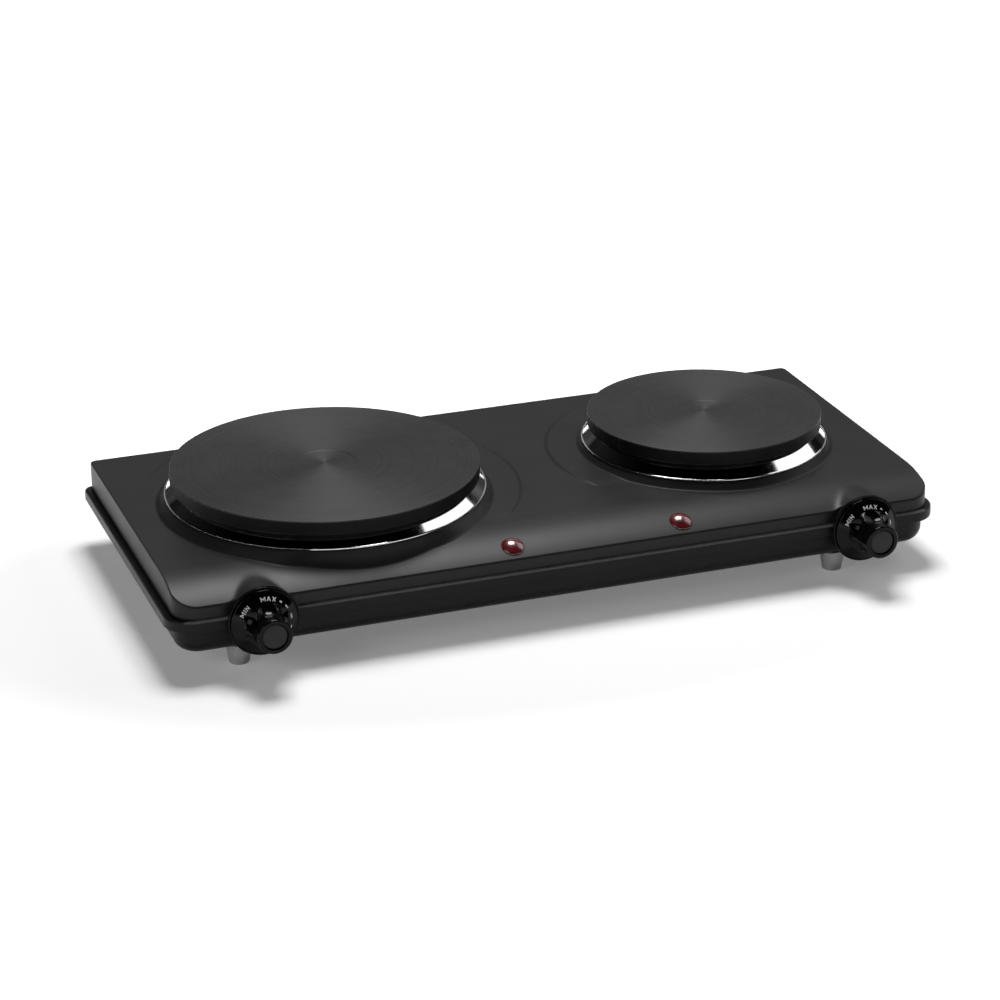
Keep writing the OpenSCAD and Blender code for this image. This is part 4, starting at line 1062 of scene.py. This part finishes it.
def build_print(side):
    """White words and dashes on the cone of a knob's skirt."""
    outlines = []
    for word, angle in PRINT_WORDS:
        widths = [GLYPHS[c][0] / 100 * LETTER_H + LETTER_GAP for c in word]
        at = -(sum(widths) - LETTER_GAP) / 2
        for c, width in zip(word, widths):
            outlines.append(([[(at + x / 100 * LETTER_H, (y / 100 - 0.5) * LETTER_H)
                               for x, y in zip(loop[::2], loop[1::2])]
                              for loop in GLYPHS[c][1]], angle))
            at += width
    for angle, length in PRINT_DASHES:
        x, y = length / 2, DASH_H / 2
        outlines.append(([[(-x, -y), (x, -y), (x, y), (-x, y)]], angle))
    verts, faces = np.empty((0, 3)), []
    for loops, angle in outlines:
        v, f = print_on_cone(loops, angle + PRINT_TURN[side])
        faces += [tuple(i + len(verts) for i in face) for face in f]
        verts = np.vstack([verts, v])
    verts = placed(verts, knob_matrix(side))
    make_mesh("dial_print_" + side, verts, faces, None, FINISH["print_white"],
              body="knob_" + side)


def build_cap(side):
    """The matt cap in a knob's front, slightly crowned."""
    depth = KNOB_BACK_Y - KNOB_FRONT_Y - CAP_DEPTH
    profile = fillet_profile([
        (0, depth), (CAP_R, depth, 0.2), (CAP_R, depth + 1.2, 0.45),
        (CAP_R - 1.4, depth + 1.3, 0.3), (CAP_R * 0.5, depth + 1.42, 6.0), (0, depth + 1.5)], 4)
    verts, faces = revolve(profile, 96)
    verts = placed(verts, knob_matrix(side))
    piece = make_mesh("front_cap_" + side, verts, faces, "cap_matt", body="knob_" + side)
    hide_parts("knob_cap_" + side)


DIAL_LIP = 1.0
DIAL_DISH = 0.9


def build_dial_plate(side):
    """The round plate behind a knob, with a raised lip around the skirt."""
    t = DIAL_BACK_Y - DIAL_FRONT_Y
    inner_r, floor = DIAL_R - DIAL_LIP, t - DIAL_DISH
    profile = fillet_profile([
        (6.0, 0), (DIAL_R, 0, 0.25), (DIAL_R, t, 0.4), (inner_r, t, 0.35),
        (inner_r, floor, 0.1), (6.0, floor)], 4)
    verts, faces = revolve(profile, 160, loop=True)
    verts = placed(verts, knob_matrix(side, DIAL_BACK_Y))
    piece = make_mesh("dial_dish_" + side, verts, faces, "knob_gloss")
    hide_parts("dial_plate_" + side)


BOSS_REACH = 12.0
BOSS_FACE_T = 1.0
BOSS_EDGE_R = 0.4
BOSS_FILLET = 0.6
BOSS_HOLE_R = 5.4
BOSS_SEGMENTS = 180


def build_boss(side):
    """A boss's round face, and the part of its hump that stands before the cover's wall."""
    angles = np.linspace(0, 2 * math.pi, BOSS_SEGMENTS, endpoint=False)
    seam_sine = (SEAM_Z + 0.3 - AXIS_Z) / HUMP_R
    t, e, f = BOSS_FACE_T, BOSS_EDGE_R, BOSS_FILLET

    def ring(r, back):
        # Behind its face the boss stops at the cover's lower edge
        depth = np.where(np.sin(angles) > seam_sine, back, min(back, t))
        return np.stack([KNOB_X[side] + r * np.cos(angles), DIAL_BACK_Y + depth,
                         AXIS_Z + r * np.sin(angles)], 1)

    hump = HUMP_R - 0.03
    rings = [ring(BOSS_HOLE_R, 0.0), ring(BOSS_R - e, 0.0)]
    rings += [ring(BOSS_R - e * (1 - math.cos(a)), e * (1 - math.sin(a)))
              for a in np.radians(np.linspace(75, 0, 5))]
    rings += [ring(BOSS_R, t), ring(hump + f, t)]
    rings += [ring(hump + f * (1 - math.sin(a)), t + f * (1 - math.cos(a)))
              for a in np.radians(np.linspace(15, 90, 5))]
    rings += [ring(hump, BOSS_REACH), ring(hump - SHEET, BOSS_REACH), ring(hump - SHEET, t),
              ring(BOSS_HOLE_R, t)]
    verts, faces = loft(rings, loop=True)
    make_mesh("cover_boss_" + side, verts, faces, "black_enamel")


# ---- lamps, feet
LENS_R = 6.9
LENS_H = 3.1
LENS_EDGE = 0.25
LENS_SEAT = -0.2
LENS_STEM_R = 4.8
LENS_STEM_Z = -6.0


def build_lens(side):
    """A domed red lens on the rolled front."""
    rise = LENS_H - LENS_EDGE
    dome_r = (LENS_R ** 2 + rise ** 2) / (2 * rise)
    dome = [(dome_r * math.sin(a), LENS_H - dome_r * (1 - math.cos(a)))
            for a in np.linspace(math.asin(LENS_R / dome_r), 0, 22)]
    dome[-1] = (0.0, LENS_H)
    stem = [(0, LENS_STEM_Z), (LENS_STEM_R, LENS_STEM_Z), (LENS_STEM_R, LENS_SEAT)]
    verts, faces = revolve(stem + [(LENS_R, LENS_SEAT)] + dome, 96)
    verts = placed(verts, lamp_frame(side))
    piece = make_mesh("domed_lens_" + side, verts, faces, "lamp_red")
    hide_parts("lamp_lens_" + side)


CLIP_IN_R = LAMP_HOLE_R + 0.2
CLIP_R = 6.4
CLIP_T = 0.5
CLIP_Z = -2.3


def build_lens_clips():
    """The two flat spring rings that hold the lenses from inside."""
    low, high = CLIP_Z, CLIP_Z + CLIP_T
    ring, quads = revolve([(CLIP_IN_R, low), (CLIP_R, low), (CLIP_R, high), (CLIP_IN_R, high)],
                          64, loop=True)
    verts = np.vstack([placed(ring, lamp_frame(side)) for side in SIDES])
    faces = quads + [tuple(i + len(ring) for i in f) for f in quads]
    piece = make_mesh("lens_clips", verts, faces, "plated_steel")
    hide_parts("lamp_clips")


FOOT_TOP_R = 7.8
FOOT_BOTTOM_R = 5.8
FOOT_BORE_R = 3.9
FOOT_BORE_H = 6.0
FOOT_HOLE_R = 2.2


def build_foot(name):
    """A tapered rubber foot with a counterbore for its screw."""
    node = "foot_" + name
    middle, h = cad_middle(node), cad_box(node)[1][2]
    profile = fillet_profile([
        (FOOT_HOLE_R, FOOT_BORE_H), (FOOT_BORE_R, FOOT_BORE_H, 0.2), (FOOT_BORE_R, 0, 0.3),
        (FOOT_BOTTOM_R, 0, 0.9), (FOOT_TOP_R, h, 0.3), (FOOT_HOLE_R, h)], 4)
    verts, faces = revolve(profile, 96, loop=True)
    piece = make_mesh("rubber_" + node, verts + (middle[0], middle[1], 0), faces, "grey_rubber")
    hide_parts(node)


# ---- stage
CAMERA_AT = (-582.5, -1611.75, 749.6)
CAMERA_AZ = -19.58
CAMERA_EL = 22.52
CAMERA_ROLL = -0.51
FOCAL_PX = 3050.22
IMAGE_PX = 1000.0
SENSOR = 36.0


def build_camera():
    """Camera at the photograph's place, for a square picture."""
    data = bpy.data.cameras.new("camera")
    data.sensor_width = SENSOR
    data.lens = SENSOR * FOCAL_PX / IMAGE_PX
    data.clip_start, data.clip_end = 0.05, 50.0
    camera = place_in_scene("camera", data)
    az, from_top, roll = (math.radians(v) for v in (CAMERA_AZ, 90 - CAMERA_EL, CAMERA_ROLL))
    camera.matrix_world = (Matrix.Translation(Vector(CAMERA_AT) * MM)
                           @ Matrix.Rotation(az, 4, "Z") @ Matrix.Rotation(from_top, 4, "X")
                           @ Matrix.Rotation(roll, 4, "Z"))
    bpy.context.scene.camera = camera


# Soft rectangular lamps in metres and watts: name, place, size and power
LAMPS = (("key", (0.2, 0.58, 1.77), (0.8, 0.7), 35.0),
         ("right_panel", (1.04, 0.11, 0.81), (0.95, 0.85), 3.3),
         ("left_panel", (-1.5, -0.75, 0.85), (0.9, 0.7), 4.6))
LAMPS_AIM = (0.0, 0.0, 0.05)


def add_area_light(name, at, size, power):
    """Soft rectangular lamp that faces the object."""
    data = bpy.data.lights.new(name, "AREA")
    data.shape = "RECTANGLE"
    data.size, data.size_y = size
    data.energy = power
    lamp = place_in_scene(name, data)
    lamp.location = at
    lamp.rotation_mode = "QUATERNION"
    lamp.rotation_quaternion = (Vector(LAMPS_AIM) - Vector(at)).to_track_quat("-Z", "Y")


# World brightness by the height of a direction, and by how far it points to the back wall
WORLD_BY_HEIGHT = ((0.0, 0.02), (0.15, 0.06), (0.38, 0.40), (0.6, 0.18), (0.8, 0.01),
                   (1.0, 0.003))
WORLD_BY_SIDE = ((0.0, 0.02), (0.74, 0.03), (0.90, 1.0))
WALL_TOWARDS = (0.33, 0.94, 0.0)


def build_world():
    """A studio: pale wall behind the object, dim elsewhere and dark overhead."""
    world = bpy.data.worlds.new("room")
    world.use_nodes = True
    tree = world.node_tree
    direction = own_place(tree, "Generated")
    up = vector_math(tree, "DOT_PRODUCT", direction, (0, 0, 1))
    to_wall = vector_math(tree, "DOT_PRODUCT", direction, WALL_TOWARDS)
    grey = add_math(tree, "MULTIPLY", grey_ramp(tree, up, WORLD_BY_HEIGHT),
                    grey_ramp(tree, to_wall, WORLD_BY_SIDE))
    set_inputs(tree, tree.nodes["Background"], {"Color": grey, "Strength": 1.0})
    bpy.context.scene.world = world


# Floor in metres. Camera rays and reflections see a glow that grows outwards from the object
FLOOR_HALF = 15.0
FLOOR_GREYS = ((0.3, 0.79), (0.7, 0.81))
FLOOR_NEAR = (0.33, 0.20, 1)
FLOOR_GLOW = (0.19, 1.0)
FLOOR_GLOW_SPAN = (1.0, 2.0)


def build_floor():
    """A wide pale floor; the camera sees it white where no shadow falls."""
    tree, bsdf = new_material("floor")
    set_inputs(tree, bsdf, {
        "Roughness": 0.9, "Specular IOR Level": 0.1,
        "Base Color": grey_ramp(tree, add_noise(tree, 0.4, 2.0), FLOOR_GREYS)})
    path = tree.nodes.new("ShaderNodeLightPath")
    seen = path.outputs["Is Camera Ray"]
    for kind in ("Is Glossy Ray", "Is Transmission Ray"):
        seen = add_math(tree, "MAXIMUM", seen, path.outputs[kind])
    away = vector_math(tree, "LENGTH", vector_math(tree, "DIVIDE", own_place(tree), FLOOR_NEAR))
    strength = add_range(tree, away, *FLOOR_GLOW, FLOOR_GLOW_SPAN)
    glow = add_node(tree, "Emission", {"Strength": strength}).outputs["Emission"]
    plain = bsdf.outputs["BSDF"]
    lit = add_node(tree, "AddShader", {0: plain, 1: glow}).outputs["Shader"]
    pick = add_node(tree, "MixShader", {"Fac": seen, 1: plain, 2: lit})
    set_inputs(tree, tree.nodes["Material Output"], {"Surface": pick.outputs["Shader"]})
    h = FLOOR_HALF
    mesh = bpy.data.meshes.new("floor")
    mesh.from_pydata([(-h, -h, 0), (h, -h, 0), (h, h, 0), (-h, h, 0)], [], [(0, 1, 2, 3)])
    mesh.materials.append(FINISH["floor"])
    floor = place_in_scene("floor", mesh)


def main():
    """Builds the stage, dresses the CAD nodes and builds every piece."""
    build_camera()
    build_world()
    build_floor()
    for lamp in LAMPS:
        add_area_light(*lamp)
    dress_cad_nodes()
    build_cover()
    build_tray()
    for key in PLATES:
        build_plate(key)
        build_ring(key)
    for side in SIDES:
        build_knob(side)
        build_print(side)
        build_cap(side)
        build_dial_plate(side)
        build_boss(side)
        build_lens(side)
    build_lens_clips()
    for name in ("front_left", "front_right", "back_left", "back_right"):
        build_foot(name)


main()
bpy.context.scene.view_settings.view_transform = "Standard"
